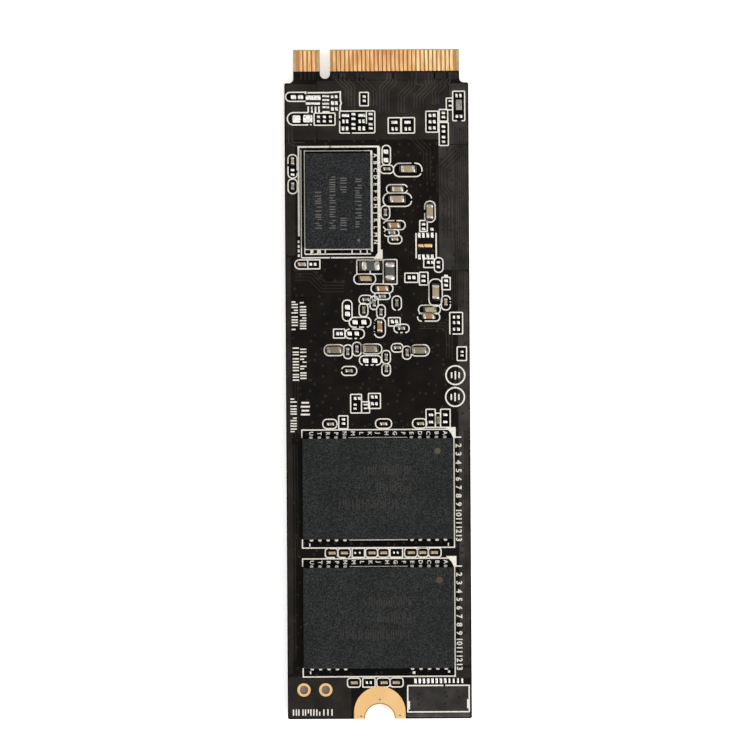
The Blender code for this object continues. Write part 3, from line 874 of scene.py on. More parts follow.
def plain_material(name, colour, roughness, metallic=0.0, specular=0.4, grain=0.1 * MM, relief=0.004 * MM):
    """A finish with fine grain in its colour, shine and relief."""
    finish = Finish(name, roughness, metallic, specular)
    noise = finish.noise(grain)
    finish.colours(noise, [(0.30, scaled(colour, 0.78)), (0.55, colour), (0.78, scaled(colour, 1.18))])
    finish.roughness(noise, max(roughness - 0.1, 0.05), min(roughness + 0.12, 1.0))
    finish.bump(noise, relief, 0.6)
    return finish.material


def nickel_material():
    """Brushed nickel plate, its grain along the card."""
    finish = Finish("brushed_nickel", roughness=0.32, metallic=1.0)
    brushed = finish.noise(0.04 * MM, (1.0, 30.0, 1.0))
    stops = [(0.30, (0.50, 0.49, 0.47)), (0.55, (0.66, 0.65, 0.62)), (0.80, (0.74, 0.73, 0.70))]
    finish.colours(brushed, stops)
    finish.roughness(brushed, 0.26, 0.42)
    finish.bump(brushed, 0.002 * MM, 0.5)
    return finish.material


MASK = mask_material("solder_mask", (0.0038, 0.0026, 0.0016), 0.075)
# Near-black mask around the parts: partly copper-free ground, partly painted shade beside the packages and
# chips.
SITE_MASK_WITH_SHADE = mask_material("solder_mask_painted_shade_by_parts", (0.0012, 0.0009, 0.0007), 0.05)
MASK_ON_COPPER = mask_material("solder_mask_on_copper", (0.0115, 0.0088, 0.0068), 0.14)
# Paler mask towards the right and along the back edge: partly copper, partly painted sheen of the light from
# the right.
MASK_WITH_COPPER_AND_SHEEN = mask_material("solder_mask_on_copper_and_painted_sheen", (0.0215, 0.0190, 0.0170), 0.18)
MASK_WITH_COPPER_AND_BRIGHTEST_SHEEN = mask_material("solder_mask_on_copper_and_brightest_painted_sheen", (0.044, 0.040, 0.038), 0.20)
MASK_ON_TRACE = mask_material("solder_mask_on_trace", (0.025, 0.0210, 0.0175), 0.20)
LAMINATE = laminate_material()
STREAK = (0.22 * MM, 2.4 * MM, 1.0 * MM)
GOLD_FINGERS = gold_material("gold_edge_contacts", (0.86, 0.478, 0.208), STREAK, 0.46, 0.34)
# A paler copy of the contacts' gold: a painted highlight for the contacts towards the right.
GOLD_FINGERS_PAINTED_HIGHLIGHT = gold_material("gold_edge_contacts_painted_highlight", (0.97, 0.640, 0.320), STREAK, 0.46, 0.34)
GOLD_PAD = gold_material("gold_plating", (0.82, 0.52, 0.235), (2.0 * MM, 2.0 * MM, 2.0 * MM), 0.06, 0.32)
TIN = tin_material("solder_tin", (0.92, 0.90, 0.86), 0.30)
CHIP_TIN = tin_material("chip_end_tin", (0.60, 0.56, 0.50), 0.30)
WARM_TIN = tin_material("warm_chip_end_tin", (0.36, 0.32, 0.25), 0.36)
FILLET = tin_material("solder_fillet", (0.13, 0.115, 0.095), 0.30)
DULL_TIN = tin_material("dull_tin", (0.30, 0.28, 0.25), 0.40)
PRINT = print_material()
MOULD = mould_material("moulding_compound", (0.0112, 0.0124, 0.0120))
DRAM_MOULD = mould_material("memory_moulding_compound", (0.0120, 0.0128, 0.0136))
LASER = plain_material("laser_mark", (0.105, 0.103, 0.097), 0.7, specular=0.2, grain=0.16 * MM)
LASER_FAINT = plain_material("faint_laser_mark", (0.030, 0.027, 0.0225), 0.7, specular=0.2, grain=0.16 * MM)
LASER_FINISHES = {
    "dram_upper": [LASER, LASER],
    "flash_a": [LASER_FAINT, plain_material("yellow_dot", (0.062, 0.052, 0.024), 0.7, grain=0.16 * MM)],
    "flash_b": [LASER_FAINT, plain_material("orange_dot", (0.060, 0.034, 0.022), 0.7, grain=0.16 * MM)],
}
FERRITE = plain_material("ferrite", (0.048, 0.052, 0.053), 0.5, grain=0.05 * MM)
WORN_COPPER = plain_material("worn_copper", (0.19, 0.105, 0.050), 0.5)
RESIN = plain_material("plug_resin", (0.15, 0.115, 0.095), 0.55)
CONTACT_WEB = plain_material("laminate_between_contacts", (0.26, 0.120, 0.026), 0.55)
CONTACT_BORDER = plain_material("laminate_beside_contacts", (0.40, 0.19, 0.072), 0.55)
SUBSTRATE = plain_material("package_laminate", (0.030, 0.040, 0.026), 0.5)
SILICON = plain_material("ground_silicon", (0.22, 0.23, 0.26), 0.22, metallic=0.3, relief=0.001 * MM)
NICKEL = nickel_material()
LABEL = plain_material("label_film", (0.76, 0.76, 0.74), 0.45, grain=0.3 * MM, relief=0.003 * MM)
LABEL_PRINT = plain_material("label_print", (0.05, 0.055, 0.065), 0.5, grain=0.15 * MM)
CERAMIC = {
    name: plain_material(f"{name}_ceramic", colour, 0.5, specular=0.35, grain=0.06 * MM)
    for name, colour in CERAMICS.items()
}


# ---------------------------------------------------------------------------------------------------
# The card
# ---------------------------------------------------------------------------------------------------


def card_outline(front):
    """The card's outline with its tongue cut off at this Y, as the mask covers it or as it is milled."""
    corner = CORNER_RADIUS
    tongue = TONGUE_HALF + SHOULDER_RADIUS
    shoulder = SHOULDER_Y + SHOULDER_RADIUS
    return [
        *arc(0.0, BOARD_BACK, SCREW_HOLE_RADIUS, 180.0, 0.0, 32),
        *arc(HALF_WIDTH - corner, BOARD_BACK + corner, corner, -90.0, 0.0),
        *arc(HALF_WIDTH - corner, SHOULDER_Y - corner, corner, 0.0, 90.0),
        *arc(tongue, shoulder, SHOULDER_RADIUS, 270.0, 180.0),
        (TONGUE_HALF, front),
        (KEY_X + KEY_HALF, front),
        *arc(KEY_X, KEY_BOTTOM + KEY_HALF, KEY_HALF, 0.0, -180.0, 20),
        (KEY_X - KEY_HALF, front),
        (-TONGUE_HALF, front),
        *arc(-tongue, shoulder, SHOULDER_RADIUS, 0.0, -90.0),
        *arc(-HALF_WIDTH + corner, SHOULDER_Y - corner, corner, 90.0, 180.0),
        *arc(-HALF_WIDTH + corner, BOARD_BACK + corner, corner, 180.0, 270.0),
    ]


def eyelet_holes():
    return [circle(*middle(name), EYELET_HOLE_RADIUS) for name in EYELETS]


def make_card():
    """The laminate with its chamfered tongue, under one sheet of solder mask on each side."""
    shape = plate("card", [card_outline(BOARD_FRONT), *eyelet_holes()], board_low.z, board_high.z)
    close = 0.01 * MM
    front_edges = [
        edge
        for edge in shape.edges
        if all(vert.co.y > BOARD_FRONT - close for vert in edge.verts)
        and abs(edge.verts[0].co.z - edge.verts[1].co.z) < close
    ]
    bmesh.ops.bevel(shape, geom=front_edges, offset=TONGUE_CHAMFER, segments=1, affect="EDGES")
    add_piece("card_laminate", shape, [LAMINATE], ["circuit_board"])

    for word, side in SIDES:
        name = f"{word}_solder_mask"
        shape = plate(name, [card_outline(MASK_FRONT), *eyelet_holes()], *layer(side, 0.0, MASK_RISE))
        add_piece(name, shape, [MASK])


def make_traces():
    """Copper that shows through the mask as low ridges, on both sides."""
    for name, bundles, material in (
        ("connector_traces", CONNECTOR_BUNDLES, MASK_ON_TRACE),
        ("faint_traces", FAINT_BUNDLES, MASK_ON_COPPER),
    ):
        for word, side in SIDES:
            shape = bmesh.new()
            for count, pitch, corners in bundles:
                first = [metres(corner) for corner in corners]
                for number in range(count):
                    line = offset_line(first, number * pitch * MM)
                    ribbon(shape, line, TRACE_WIDTH, *layer(side, 0.0, TRACE_RISE))
            add_piece(f"{word}_{name}", shape, [material])


def make_copper_areas():
    """Filled copper that lifts the mask over it a little, on both sides, with the eyelets' holes in it."""
    groups = (
        ("copper_areas", COPPER_AREAS, eyelet_holes(), MASK_ON_COPPER),
        # These last two groups are partly copper and partly painted sheen of the light from the right.
        ("copper_areas_and_painted_sheen", COPPER_AREAS_WITH_SHEEN, [], MASK_WITH_COPPER_AND_SHEEN),
        ("copper_areas_and_brightest_painted_sheen", COPPER_AREAS_WITH_BRIGHTEST_SHEEN, [], MASK_WITH_COPPER_AND_BRIGHTEST_SHEEN),
    )
    for word, side in SIDES:
        for name, rows, cuts, material in groups:
            outlines = [rounded_rectangle(*metres(row), 0.25 * MM, 3) for row in rows]
            shape = plate(name, [*outlines, *cuts], *layer(side, 0.0, COPPER_RISE))
            add_piece(f"{word}_{name}", shape, [material])


def make_sites():
    """Darker mask on the ground of each printed outline and package: partly copper-free ground, partly
    painted shade next to the parts.

    Neighbours differ a little in height, so that no two faces coincide.
    """
    sites = [metres(row) for row in PILLS + ROW_OUTLINES + BOXES + OPEN_PILLS]
    for package, site in (("flash_a", FLASH_SITE), ("flash_b", FLASH_SITE), ("dram_upper", DRAM_SITE)):
        x, y = middle(f"{package}_mould")
        reach_x, reach_y = site
        sites.append((x - reach_x, x + reach_x, y - reach_y, y + reach_y))
    shape = bmesh.new()
    for number, (left, right, back, front) in enumerate(sites):
        corner = min(right - left, front - back, 1.2 * MM) * 0.4
        crest = SITE_RISE + (number % 16) * 0.0003 * MM
        prism(shape, rounded_rectangle(left, right, back, front, corner, 4), *layer(UPPER, 0.0, crest))
    add_piece("part_sites_with_painted_shade", shape, [SITE_MASK_WITH_SHADE])


def covered_areas(side):
    """The boxes that vias keep clear of: left, right, back and front, in metres."""
    areas = []
    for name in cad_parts:
        low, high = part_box(name)
        above = (low.z + high.z) / 2 > board_high.z
        wide = high.x - low.x
        if name not in ("circuit_board", "label") and above == (side == UPPER) and wide < HALF_WIDTH * 1.9:
            areas.append((low.x, high.x, low.y, high.y))
    for name in ("screw_notch_plating", *EYELETS):
        low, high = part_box(name)
        areas.append((low.x, high.x, low.y, high.y))
    if side == UPPER:
        areas += [metres(row) for row in PILLS + ROW_OUTLINES + BOXES]
        for x, y, length, tall, along in PRINT_STRIPS:
            reach_x, reach_y = (tall / 2, length / 2) if along else (length / 2, tall / 2)
            areas.append(metres((x - reach_x, x + reach_x, y - reach_y, y + reach_y)))
    return areas


def make_vias():
    """Tented vias: small round bumps with a dimple, scattered where the card is free."""
    draw = random.Random(7)
    profile = (
        (0.18 * MM, 0.0),
        (0.16 * MM, MASK_RISE + 0.014 * MM),
        (0.09 * MM, MASK_RISE + 0.014 * MM),
        (0.04 * MM, MASK_RISE + 0.004 * MM),
    )
    for word, side in SIDES:
        wanted = VIA_COUNTS[word]
        areas = covered_areas(side)
        rings = [(radius, height(side, rise)) for radius, rise in profile]
        shape = bmesh.new()
        placed = []
        for _ in range(wanted * 12):
            x = draw.uniform(-10.5, 10.5) * MM
            y = draw.uniform(-38.5, 35.0) * MM
            free = not any(
                left - VIA_MARGIN < x < right + VIA_MARGIN and back - VIA_MARGIN < y < front + VIA_MARGIN
                for left, right, back, front in areas
            )
            apart = all(math.hypot(x - px, y - py) > VIA_SPACING for px, py in placed)
            if free and apart and len(placed) < wanted:
                placed.append((x, y))
                stacked(shape, x, y, rings, 12)
        add_piece(f"{word}_vias", shape, [MASK_ON_COPPER])


# ---------------------------------------------------------------------------------------------------
# Copper and solder
# ---------------------------------------------------------------------------------------------------


def make_fingers():
    """The edge contacts, each a bar of its own with rounded tips, the laminate between and beside them, and
    their leads under the mask."""
    rows = (
        ("upper_edge_contacts", UPPER, [*range(74, 66, -2)], [*range(58, 0, -2)]),
        ("lower_edge_contacts", LOWER, [*range(75, 65, -2)], [*range(57, 0, -2)]),
    )
    contact_middle = (MASK_FRONT + FINGER_FRONT) / 2
    length = FINGER_FRONT - MASK_FRONT
    bevel = 0.04 * MM
    for node, side, *groups in rows:
        places = [[(MIDDLE_PIN - pin) * PIN_STEP for pin in group] for group in groups]
        shape = bmesh.new()
        for x in places[0] + places[1]:
            outer = centred_rectangle(x, contact_middle, FINGER_WIDTH, length, 0.05 * MM)
            inner = centred_rectangle(x, contact_middle, FINGER_WIDTH - bevel, length - bevel, 0.04 * MM)
            rings = [
                at_height(outer, height(side, FINGER_START)),
                at_height(outer, height(side, FINGER_SHOULDER)),
                at_height(inner, height(side, FINGER_RISE)),
            ]
            # Contacts towards the right take the paler gold, a painted highlight of the light from the right.
            loft(shape, rings, material=int(x > HIGHLIT_CONTACTS_FROM))
        add_piece(f"{node}_plated", shape, [GOLD_FINGERS, GOLD_FINGERS_PAINTED_HIGHLIGHT], [node], smooth=30)

        web = bmesh.new()
        edge = FINGER_WIDTH / 2
        reaches = ((OUTER_BORDER_REACH, NOTCH_BORDER_REACH), (NOTCH_BORDER_REACH, OUTER_BORDER_REACH))
        for group, (left_reach, right_reach) in zip(places, reaches):
            left, right = group[0], group[-1]
            strips = (
                (left, right, 0),
                (left - left_reach, left - edge, 1),
                (right + edge, right + right_reach, 1),
            )
            for start, end, material in strips:
                outline = rounded_rectangle(start, end, MASK_FRONT, FINGER_FRONT - 0.03 * MM, 0.02 * MM, 1)
                prism(web, outline, *layer(side, -0.002 * MM, WEB_RISE), material=material)
        add_piece(f"{node}_web", web, [CONTACT_WEB, CONTACT_BORDER])

        leads = bmesh.new()
        for x in places[0] + places[1]:
            line = [(x, MASK_FRONT - 0.05 * MM), (x, LEAD_BACK)]
            ribbon(leads, line, LEAD_WIDTH, *layer(side, 0.0, TRACE_RISE))
        add_piece(f"{node}_leads", leads, [MASK_ON_COPPER])


def solder_pad(shape, x, y, width, length, material=0):
    """A pad of copper under a low pillow of solder, on the upper side."""
    corner = min(width, length) * 0.16
    rings = []
    for inset, share in ((0.0, 0.0), (0.0, 0.45), (0.12, 0.80), (0.30, 1.0)):
        shrink = inset * min(width, length)
        outline = centred_rectangle(x, y, width - shrink, length - shrink, corner * (1.0 - inset), 3)
        rings.append(at_height(outline, height(UPPER, PAD_START + (PAD_RISE - PAD_START) * share)))
    loft(shape, rings, material=material)


def make_pads():
    """Every tinned pad that carries no chip, and the two gold bars between the pads of the free footprint."""
    for name, grids in PAD_GRIDS.items():
        shape = bmesh.new()
        for columns, rows, width, length in grids:
            dull = int((width, length) == DULL_PAD)
            for x, y in itertools.product(columns, rows):
                solder_pad(shape, *metres((x, y, width, length)), material=dull)
        add_piece(name, shape, [TIN, DULL_TIN], smooth=40)

    shape = bmesh.new()
    for row in ((5.22, 16.5, 0.60, 0.36), (6.10, 16.5, 0.92, 0.40)):
        solder_pad(shape, *metres(row))
    add_piece("gold_test_pads", shape, [GOLD_PAD], smooth=40)


def make_screw_plating():
    """The gold horseshoe keeps its CAD solid; three filled vias and a worn rim sit on it."""
    dress("screw_notch_plating", GOLD_PAD)
    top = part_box("screw_notch_plating")[1].z
    low, high = top - 0.02 * MM, top + 0.003 * MM
    shape = bmesh.new()
    for place in ((0.0, -37.70), (-2.25, -39.68), (2.40, -39.60)):
        rings = [(0.11 * MM, low), (0.11 * MM, top + 0.002 * MM), (0.07 * MM, high)]
        stacked(shape, *metres(place), rings, 16)
    add_piece("screw_pad_vias", shape, [WORN_COPPER], smooth=40)

    shape = bmesh.new()
    rim = arc(0.0, BOARD_BACK, SCREW_HOLE_RADIUS + 0.05 * MM, 179.0, 1.0, 48)
    ribbon(shape, rim, 0.09 * MM, low, high)
    add_piece("screw_notch_rim", shape, [WORN_COPPER])


def make_eyelets():
    """Plated test eyelets with rounded flanges, closed by resin that sags in the middle."""
    bore = 0.50 * MM
    wall = 0.54 * MM
    lip = 0.012 * MM
    thickness = 0.04 * MM
    plug_radius = 0.48 * MM
    for name in EYELETS:
        low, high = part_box(name)
        flange = (high.x - low.x) / 2
        profile = [
            (bore, high.z - lip),
            (bore + lip, high.z),
            (flange - lip, high.z),
            (flange, high.z - lip),
            (flange, high.z - thickness),
            (wall, high.z - thickness),
            (wall, low.z + thickness),
            (flange, low.z + thickness),
            (flange, low.z + lip),
            (flange - lip, low.z),
            (bore + lip, low.z),
            (bore, low.z + lip),
        ]
        shape = bmesh.new()
        turned(shape, *middle(name), profile, 48)
        add_piece(f"{name}_plated", shape, [GOLD_PAD], [name], smooth=35)

        plug_low, plug_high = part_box(f"{name}_plug")
        sag = ((1.0, 0.0), (0.8, 0.02 * MM), (0.4, 0.05 * MM), (0.1, 0.06 * MM))
        rings = [(plug_radius, plug_low.z)]
        rings += [(plug_radius * share, plug_high.z - drop) for share, drop in sag]
        shape = bmesh.new()
        stacked(shape, *middle(name), rings, 32)
        add_piece(f"{name}_resin", shape, [RESIN], [f"{name}_plug"], smooth=50)


# ---------------------------------------------------------------------------------------------------
# Chips
# ---------------------------------------------------------------------------------------------------


def make_chip(name, x, y, side, size, along, body, replaced=()):
    """A ceramic chip with rounded metal ends, standing in a fillet of solder at each end."""
    length, width, tall = size
    end = length * (0.37 if body is FERRITE else 0.24)
    inset = 0.02 * MM
    lift = 0.03 * MM
    shape = bmesh.new()
    body_size = (length - 1.3 * end, width - 2 * inset, tall - 2 * inset)
    block(shape, (0.0, 0.0, lift + tall / 2), body_size, 0.03 * MM, 0)
    foot = width * 0.24
    for direction in (-1, 1):
        centre = (direction * (length - end) / 2, 0.0, lift + tall / 2)
        block(shape, centre, (end, width, tall), width * (0.22 if body is FERRITE else 0.15), 1)
        tip = length / 2
        profile = [
            (tip - 0.7 * end, 0.0),
            (tip + foot, 0.0),
            (tip + 0.90 * foot, 0.04 * MM),
            (tip + 0.45 * foot, 0.10 * tall),
            (tip + 0.16 * foot, 0.32 * tall),
            (tip - 0.02 * MM, 0.62 * tall),
            (tip - 0.7 * end, 0.05 * MM),
        ]
        rings = [
            [(direction * (tip + (px - tip) * spread), across * width, pz * spread) for px, pz in profile]
            for across, spread in ((-0.54, 0.78), (-0.44, 1.0), (0.44, 1.0), (0.54, 0.78))
        ]
        loft(shape, rings, material=2)
    if along:
        quarter_turn = Matrix.Rotation(math.pi / 2, 3, "Z")
        bmesh.ops.rotate(shape, cent=(0.0, 0.0, 0.0), matrix=quarter_turn, verts=shape.verts)
    if side == LOWER:
        bmesh.ops.scale(shape, vec=(1.0, 1.0, -1.0), verts=shape.verts)
    bmesh.ops.translate(shape, vec=(x, y, height(side, MASK_RISE - 0.001 * MM)), verts=shape.verts)
    ends = WARM_TIN if body in (CERAMIC["brown"], CERAMIC["olive"], CERAMIC["cream"]) else CHIP_TIN
    add_piece(name, shape, [body, ends, FILLET], replaced, smooth=40)


def make_chips():
    """The chips of the CAD model in detail, and the smaller ones of both sides."""
    kinds = {number: kind for kind, numbers in CAPACITORS.items() for number in numbers}
    bodies = {f"capacitor_c{number}": CERAMIC[kinds[number]] for number in sorted(kinds)}
    bodies.update({"ferrite_bead_l1": FERRITE, "ferrite_bead_l2": FERRITE})
    for node, body in bodies.items():
        low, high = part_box(node)
        width, length = sorted((high.x - low.x, high.y - low.y))
        along = high.y - low.y > high.x - low.x
        size = (length, width, high.z - board_high.z - 0.05 * MM)
        make_chip(f"{node}_detailed", *middle(node), UPPER, size, along, body, [node])
    for (word, side), rows in zip(SIDES, (SMALL_CHIPS, LOWER_CHIPS)):
        for number, (x, y, along, kind) in enumerate(rows, 1):
            name = f"small_chip_{word}_{number:02d}"
            make_chip(name, x * MM, y * MM, side, SMALL_CHIP_SIZE, along, CERAMIC[kind])


# ---------------------------------------------------------------------------------------------------
# Packages
# ---------------------------------------------------------------------------------------------------


def make_balls():
    """The solder balls under each package, pressed flat where they meet the card and the substrate."""
    for package, (pitch, columns, rows, free_columns, kept_rows) in BALL_GRIDS.items():
        node = f"{package}_solder_balls"
        low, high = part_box(node)
        x, y = middle(node)
        tall = high.z - low.z
        profile = [(0.62, 0.0), (0.92, 0.2), (1.0, 0.5), (0.92, 0.8), (0.62, 1.0)]
        rings = [(BALL_RADIUS * share, low.z + tall * rise) for share, rise in profile]
        shape = bmesh.new()
        for column in range(-columns, columns + 1):
            for row in range(-rows, rows + 1):
                if abs(column) <= free_columns and abs(row) > kept_rows:
                    continue
                stacked(shape, x + column * pitch * MM, y + row * pitch * MM, rings, 10)
        add_piece(f"{node}_placed", shape, [TIN], [node], smooth=60)


def tick_strip(shape, x, y, length, tall, along, low, high, draw, stroke):
    """A generic strip of ticks, grouped at random so that it says nothing."""
    start = -length / 2
    while start < length / 2 - 0.3 * MM:
        reach = draw.choice((1.0, 1.0, 0.62))
        across = draw.choice((-1, 1)) * (1.0 - reach) * tall / 2
        left, right = start, start + stroke
        back, front = across - reach * tall / 2, across + reach * tall / 2
        corners = [(left, back), (right, back), (right, front), (left, front)]
        if along:
            corners = [(-py, px) for px, py in corners]
        prism(shape, [(x + px, y + py) for px, py in corners], low, high)
        start += stroke + draw.choice((0.15, 0.20, 0.34)) * MM


def make_package_marks():
    """Faint laser strips and the dot by the first ball, on the upper packages."""
    draw = random.Random(11)
    for package, strips in LASER_STRIPS.items():
        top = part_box(f"{package}_mould")[1].z
        low, high = top - 0.004 * MM, top + 0.003 * MM
        shape = bmesh.new()
        for x, y, length, tall, along in strips:
            tick_strip(shape, *metres((x, y, length, tall)), along, low, high, draw, 0.12 * MM)
        x, y, radius = metres(FIRST_BALL_DOTS[package])
        stacked(shape, x, y, [(radius, low), (radius, high)], 24, material=1)
        add_piece(f"{package}_laser_marks", shape, LASER_FINISHES[package])


def dress_cad_nodes():
    """Gives every CAD node that stays its finish, by how its name ends; the first match counts."""
    endings = {
        "dram_upper_mould": DRAM_MOULD,
        "_mould": MOULD,
        "_substrate": SUBSTRATE,
        "_die": SILICON,
        "_lid": NICKEL,
        "power_manager": MOULD,
        "core_regulator": MOULD,
        "clock_crystal": NICKEL,
        "inductor_l3": FERRITE,
        "inductor_l4": FERRITE,
    }
    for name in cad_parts:
        matching = [material for ending, material in endings.items() if name.endswith(ending)]
        if matching:
            dress(name, matching[0])


# ---------------------------------------------------------------------------------------------------
# Print and label
# ---------------------------------------------------------------------------------------------------


def print_levels(number):
    """Low and high of a printed shape; neighbours differ a little so that no two faces coincide."""
    return layer(UPPER, PRINT_START, PRINT_RISE + (number % 8) * 0.0007 * MM)


def printed_line(shape, points, width, low, high, closed=False):
    """A printed line, broken where the ink has gaps."""
    gaps = [(metres(place), reach * MM) for reach, places in PRINT_GAPS.items() for place in places]
    corners = [*points, points[0]] if closed else points
    samples = []
    for start, end in zip(corners, corners[1:]):
        steps = math.ceil(math.dist(start, end) / (0.06 * MM))
        for step in range(steps):
            samples.append(tuple(Vector(start).lerp(Vector(end), step / steps)))
    if not closed:
        samples.append(corners[-1])
    inked = [all(math.dist(sample, place) > reach for place, reach in gaps) for sample in samples]
    if all(inked):
        ribbon(shape, points, width, low, high, closed)
        return
    if closed:
        first = inked.index(False)
        samples = samples[first:] + samples[:first]
        inked = inked[first:] + inked[:first]
    run = []
    for sample, visible in zip([*samples, None], [*inked, False]):
        if visible:
            run.append(sample)
            continue
        if len(run) > 1:
            ribbon(shape, run, width, low, high)
        run = []


def make_outlines():
    """The outlines, the open lines and the memory package's corner mark of the white print."""
    shape = bmesh.new()
    levels = map(print_levels, itertools.count())
    for rows, roundness in ((PILLS, 0.46), (ROW_OUTLINES, 0.30), (BOXES, 0.06)):
        for left, right, back, front in map(metres, rows):
            corner = min(right - left, front - back) * roundness
            outline = rounded_rectangle(left, right, back, front, corner)
            printed_line(shape, outline, PRINT_WIDTH, *next(levels), closed=True)
    for left, right, back, front in map(metres, OPEN_PILLS):
        radius = (front - back) / 2
        bend = arc(left + radius, back + radius, radius, 90.0, 270.0, 12)
        ribbon(shape, [(right, front), *bend, (right, back)], PRINT_WIDTH, *next(levels))
    for width, corners in LINES:
        ribbon(shape, [metres(corner) for corner in corners], width * MM, *next(levels))
    prism(shape, [metres(corner) for corner in MEMORY_CORNER_MARK], *next(levels))
    add_piece("printed_outlines", shape, [PRINT])


def make_flash_print():
    """Corner lines, a dot for each outer ball, and the mark at the first corner of both flash sites."""
    side, end = FLASH_SITE
    corner_mark = [(8.05, 7.30), (9.30, 7.30), (9.30, 6.00), (9.02, 6.00), (8.72, 6.62)]
    for package in ("flash_a", "flash_b"):
        x, y = middle(f"{package}_mould")
        corners = [
            (x - side, y + 6.1 * MM),
            (x - side, y + end),
            (x + side, y + end),
            (x + side, y - end),
            (x - side, y - end),
            (x - side, y - 6.0 * MM),
        ]
        shape = bmesh.new()
        ribbon(shape, corners, PRINT_WIDTH, *print_levels(1))
        low, high = print_levels(2)
        for direction in (-1, 1):
            edge = y + direction * FLASH_LAST_ROW
            for number, reach in itertools.product(range(4, 9), (-1, 1)):
                dot = centred_rectangle(x + reach * number * MM, edge, 0.42 * MM, 0.30 * MM, 0.13 * MM)
                prism(shape, dot, low, high)
            if package == "flash_a" or direction > 0:
                ribbon(shape, [(x - 3.5 * MM, edge), (x + 3.5 * MM, edge)], 0.09 * MM, low, high)
        prism(shape, [(x + px * MM, y + py * MM) for px, py in corner_mark], *print_levels(5))
        add_piece(f"{package}_site_print", shape, [PRINT])


def glyph(shape, body, x, y, size, turn, low, high):
    """One printed index letter or number, its middle at this place."""
    curve = bpy.data.curves.new("glyph", "FONT")
    curve.body = body
    curve.size = size
    curve.align_x = "CENTER"
    curve.align_y = "CENTER"
    curve.extrude = (high - low) / 2
    curve.resolution_u = 2
    curve.offset = 0.024 * size
    text = bpy.data.objects.new("glyph", curve)
    bpy.context.scene.collection.objects.link(text)
    mesh = evaluated_mesh(text)
    mesh.transform(Matrix.Translation((x, y, (low + high) / 2)) @ Matrix.Rotation(math.radians(turn), 4, "Z"))
    shape.from_mesh(mesh)
    bpy.data.meshes.remove(mesh)


def make_index_print():
    """The ball grids' row letters and column numbers beside each site."""
    signs = []
    for package in ("flash_a", "flash_b"):
        x, y = middle(f"{package}_mould")
        for number, letter in enumerate(reversed(ROW_LETTERS)):
            signs.append((letter, x + (number - 8) * MM, y + 6.62 * MM, LETTER_SIZE))
        for number in range(13):
            signs.append((str(number + 1), x + 9.58 * MM, y + (6.1 - number) * MM, NUMBER_SIZE))
    for number, letter in enumerate(ROW_LETTERS[:13]):
        signs.append((letter, -0.18 * MM, (27.3 - 0.86 * number) * MM, LETTER_SIZE))
    shape = bmesh.new()
    for sign, x, y, size in signs:
        glyph(shape, sign, x, y, size, -90, *print_levels(3))
    bmesh.ops.remove_doubles(shape, verts=shape.verts, dist=0.0001 * MM)
    add_piece("printed_index", shape, [PRINT])


def make_print_marks():
    """Generic strips, rings and bars where the card carries codes and marks."""
    draw = random.Random(5)
    shape = bmesh.new()
    low, high = print_levels(2)
    for x, y, length, tall, along in PRINT_STRIPS:
        tick_strip(shape, *metres((x, y, length, tall)), along, low, high, draw, 0.15 * MM)
    bars = [(-8.7, -3.6 + 0.47 * number, 1.1 - 0.2 * (number % 2), 0.2) for number in range(4)]
    for x, y in ((9.25, 1.0), (9.2, -1.6)):
        ribbon(shape, circle(x * MM, y * MM, 1.12 * MM, 36), 0.17 * MM, low, high, closed=True)
        bars += [(x + 0.45 * number, y, 0.18, 1.0 - 0.3 * abs(number)) for number in (-1, 0, 1)]
    for bar in bars:
        prism(shape, centred_rectangle(*metres(bar), 0.04 * MM), low, high)
    add_piece("printed_marks", shape, [PRINT])


def make_label():
    """The film label, with generic printed panels on the face that the card lies on."""
    low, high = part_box("label")
    shape = bmesh.new()
    outline = rounded_rectangle(low.x, high.x, low.y, high.y, 0.8 * MM, 8)
    inner = offset_line(outline, 0.02 * MM, closed=True)
    base = low.z + 0.006 * MM
    rings = [at_height(inner, base), at_height(outline, base + 0.01 * MM), at_height(outline, high.z)]
    loft(shape, rings)
    add_piece("label_sheet", shape, [LABEL], ["label"])

    shape = bmesh.new()
    print_low, print_high = low.z, base + 0.002 * MM
    inset = 1.0 * MM
    border = rounded_rectangle(low.x + inset, high.x - inset, low.y + inset, high.y - inset, 0.5 * MM)
    ribbon(shape, border, 0.3 * MM, print_low, print_high, closed=True)
    for number, width in enumerate((14.0, 11.0, 14.0, 9.0, 13.0, 10.0, 12.0)):
        bar = centred_rectangle(0.0, (20.0 - 2.4 * number) * MM, width * MM, 0.9 * MM, 0.1 * MM)
        prism(shape, bar, print_low, print_high)
    draw = random.Random(3)
    tick_strip(shape, 0.0, -14.0 * MM, 15.0 * MM, 5.0 * MM, False, print_low, print_high, draw, 0.3 * MM)
    add_piece("label_panels", shape, [LABEL_PRINT])


# ---------------------------------------------------------------------------------------------------
# Studio
# ---------------------------------------------------------------------------------------------------


def make_floor():
    """A pale table that glows a little, as a light table does."""
    shape = bmesh.new()
    prism(shape, centred_rectangle(0.0, 0.0, 1.6, 1.6, 0.01), -0.01, 0.0)
    mesh = bpy.data.meshes.new("floor")
    shape.to_mesh(mesh)
    shape.free()
    floor = bpy.data.objects.new("floor", mesh)
    bpy.context.scene.collection.objects.link(floor)
    finish = Finish("pale_floor", roughness=0.7, specular=0.2)
    finish.colours(finish.noise(0.05), [(0.3, (0.90, 0.90, 0.90)), (0.7, (0.94, 0.94, 0.94))])
    finish.shader.inputs["Emission Color"].default_value = (1.0, 1.0, 1.0, 1.0)
    finish.shader.inputs["Emission Strength"].default_value = 0.45
    mesh.materials.append(finish.material)


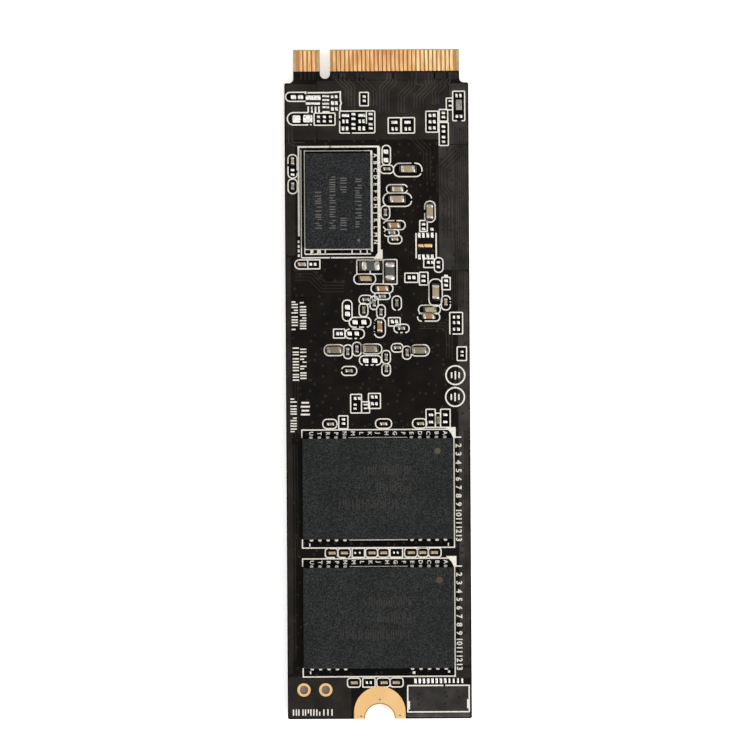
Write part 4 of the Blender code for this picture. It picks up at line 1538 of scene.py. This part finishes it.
def add_softbox(name, place, size, power):
    """A square area light that faces the card."""
    light = bpy.data.lights.new(name, "AREA")
    light.size = size
    light.energy = power
    lamp = bpy.data.objects.new(name, light)
    lamp.location = place
    lamp.rotation_euler = Vector(place).to_track_quat("Z", "Y").to_euler()
    bpy.context.scene.collection.objects.link(lamp)


def make_lights():
    """A pale room whose walls are darker between the horizon and the ceiling, and two softboxes."""
    world = bpy.data.worlds.new("studio")
    world.use_nodes = True
    nodes = world.node_tree.nodes
    links = world.node_tree.links
    direction = nodes.new("ShaderNodeTexCoord").outputs["Generated"]
    split = nodes.new("ShaderNodeSeparateXYZ")
    ramp = nodes.new("ShaderNodeValToRGB")
    elements = ramp.color_ramp.elements
    stops = [(0.0, 0.85), (0.20, 0.85), (0.38, 0.32), (0.72, 0.32), (0.90, 1.0), (1.0, 1.0)]
    while len(elements) < len(stops):
        elements.new(1.0)
    for element, (position, level) in zip(elements, stops):
        element.position = position
        element.color = (level, level * 0.985, level * 0.965, 1.0)
    links.new(direction, split.inputs["Vector"])
    links.new(split.outputs["Z"], ramp.inputs["Fac"])
    links.new(ramp.outputs["Color"], nodes["Background"].inputs["Color"])
    bpy.context.scene.world = world
    add_softbox("right_softbox", (0.42, -0.22, 0.42), 0.35, 3.6)
    add_softbox("left_softbox", (-0.45, 0.18, 0.45), 0.35, 1.0)
    bpy.context.scene.view_settings.view_transform = "Standard"


def make_camera():
    """Straight above the card, far away, with the card a little low and left and turned by a hair."""
    camera = bpy.data.cameras.new("camera")
    camera.sensor_width = 36.0
    camera.lens = 200.0
    camera.clip_start = 0.01
    camera.clip_end = 5.0
    seen_width = 89.6 * MM
    rig = bpy.data.objects.new("camera", camera)
    distance = seen_width * camera.lens / camera.sensor_width
    rig.location = (-0.35 * MM, 1.077 * MM, board_high.z + distance)
    rig.rotation_euler = (0.0, 0.0, -0.0058)
    bpy.context.scene.collection.objects.link(rig)
    bpy.context.scene.camera = rig


make_camera()
make_lights()
make_floor()
make_card()
make_copper_areas()
make_sites()
make_traces()
make_vias()
make_fingers()
make_pads()
make_screw_plating()
make_eyelets()
make_chips()
make_balls()
make_package_marks()
dress_cad_nodes()
make_outlines()
make_flash_print()
make_index_print()
make_print_marks()
make_label()
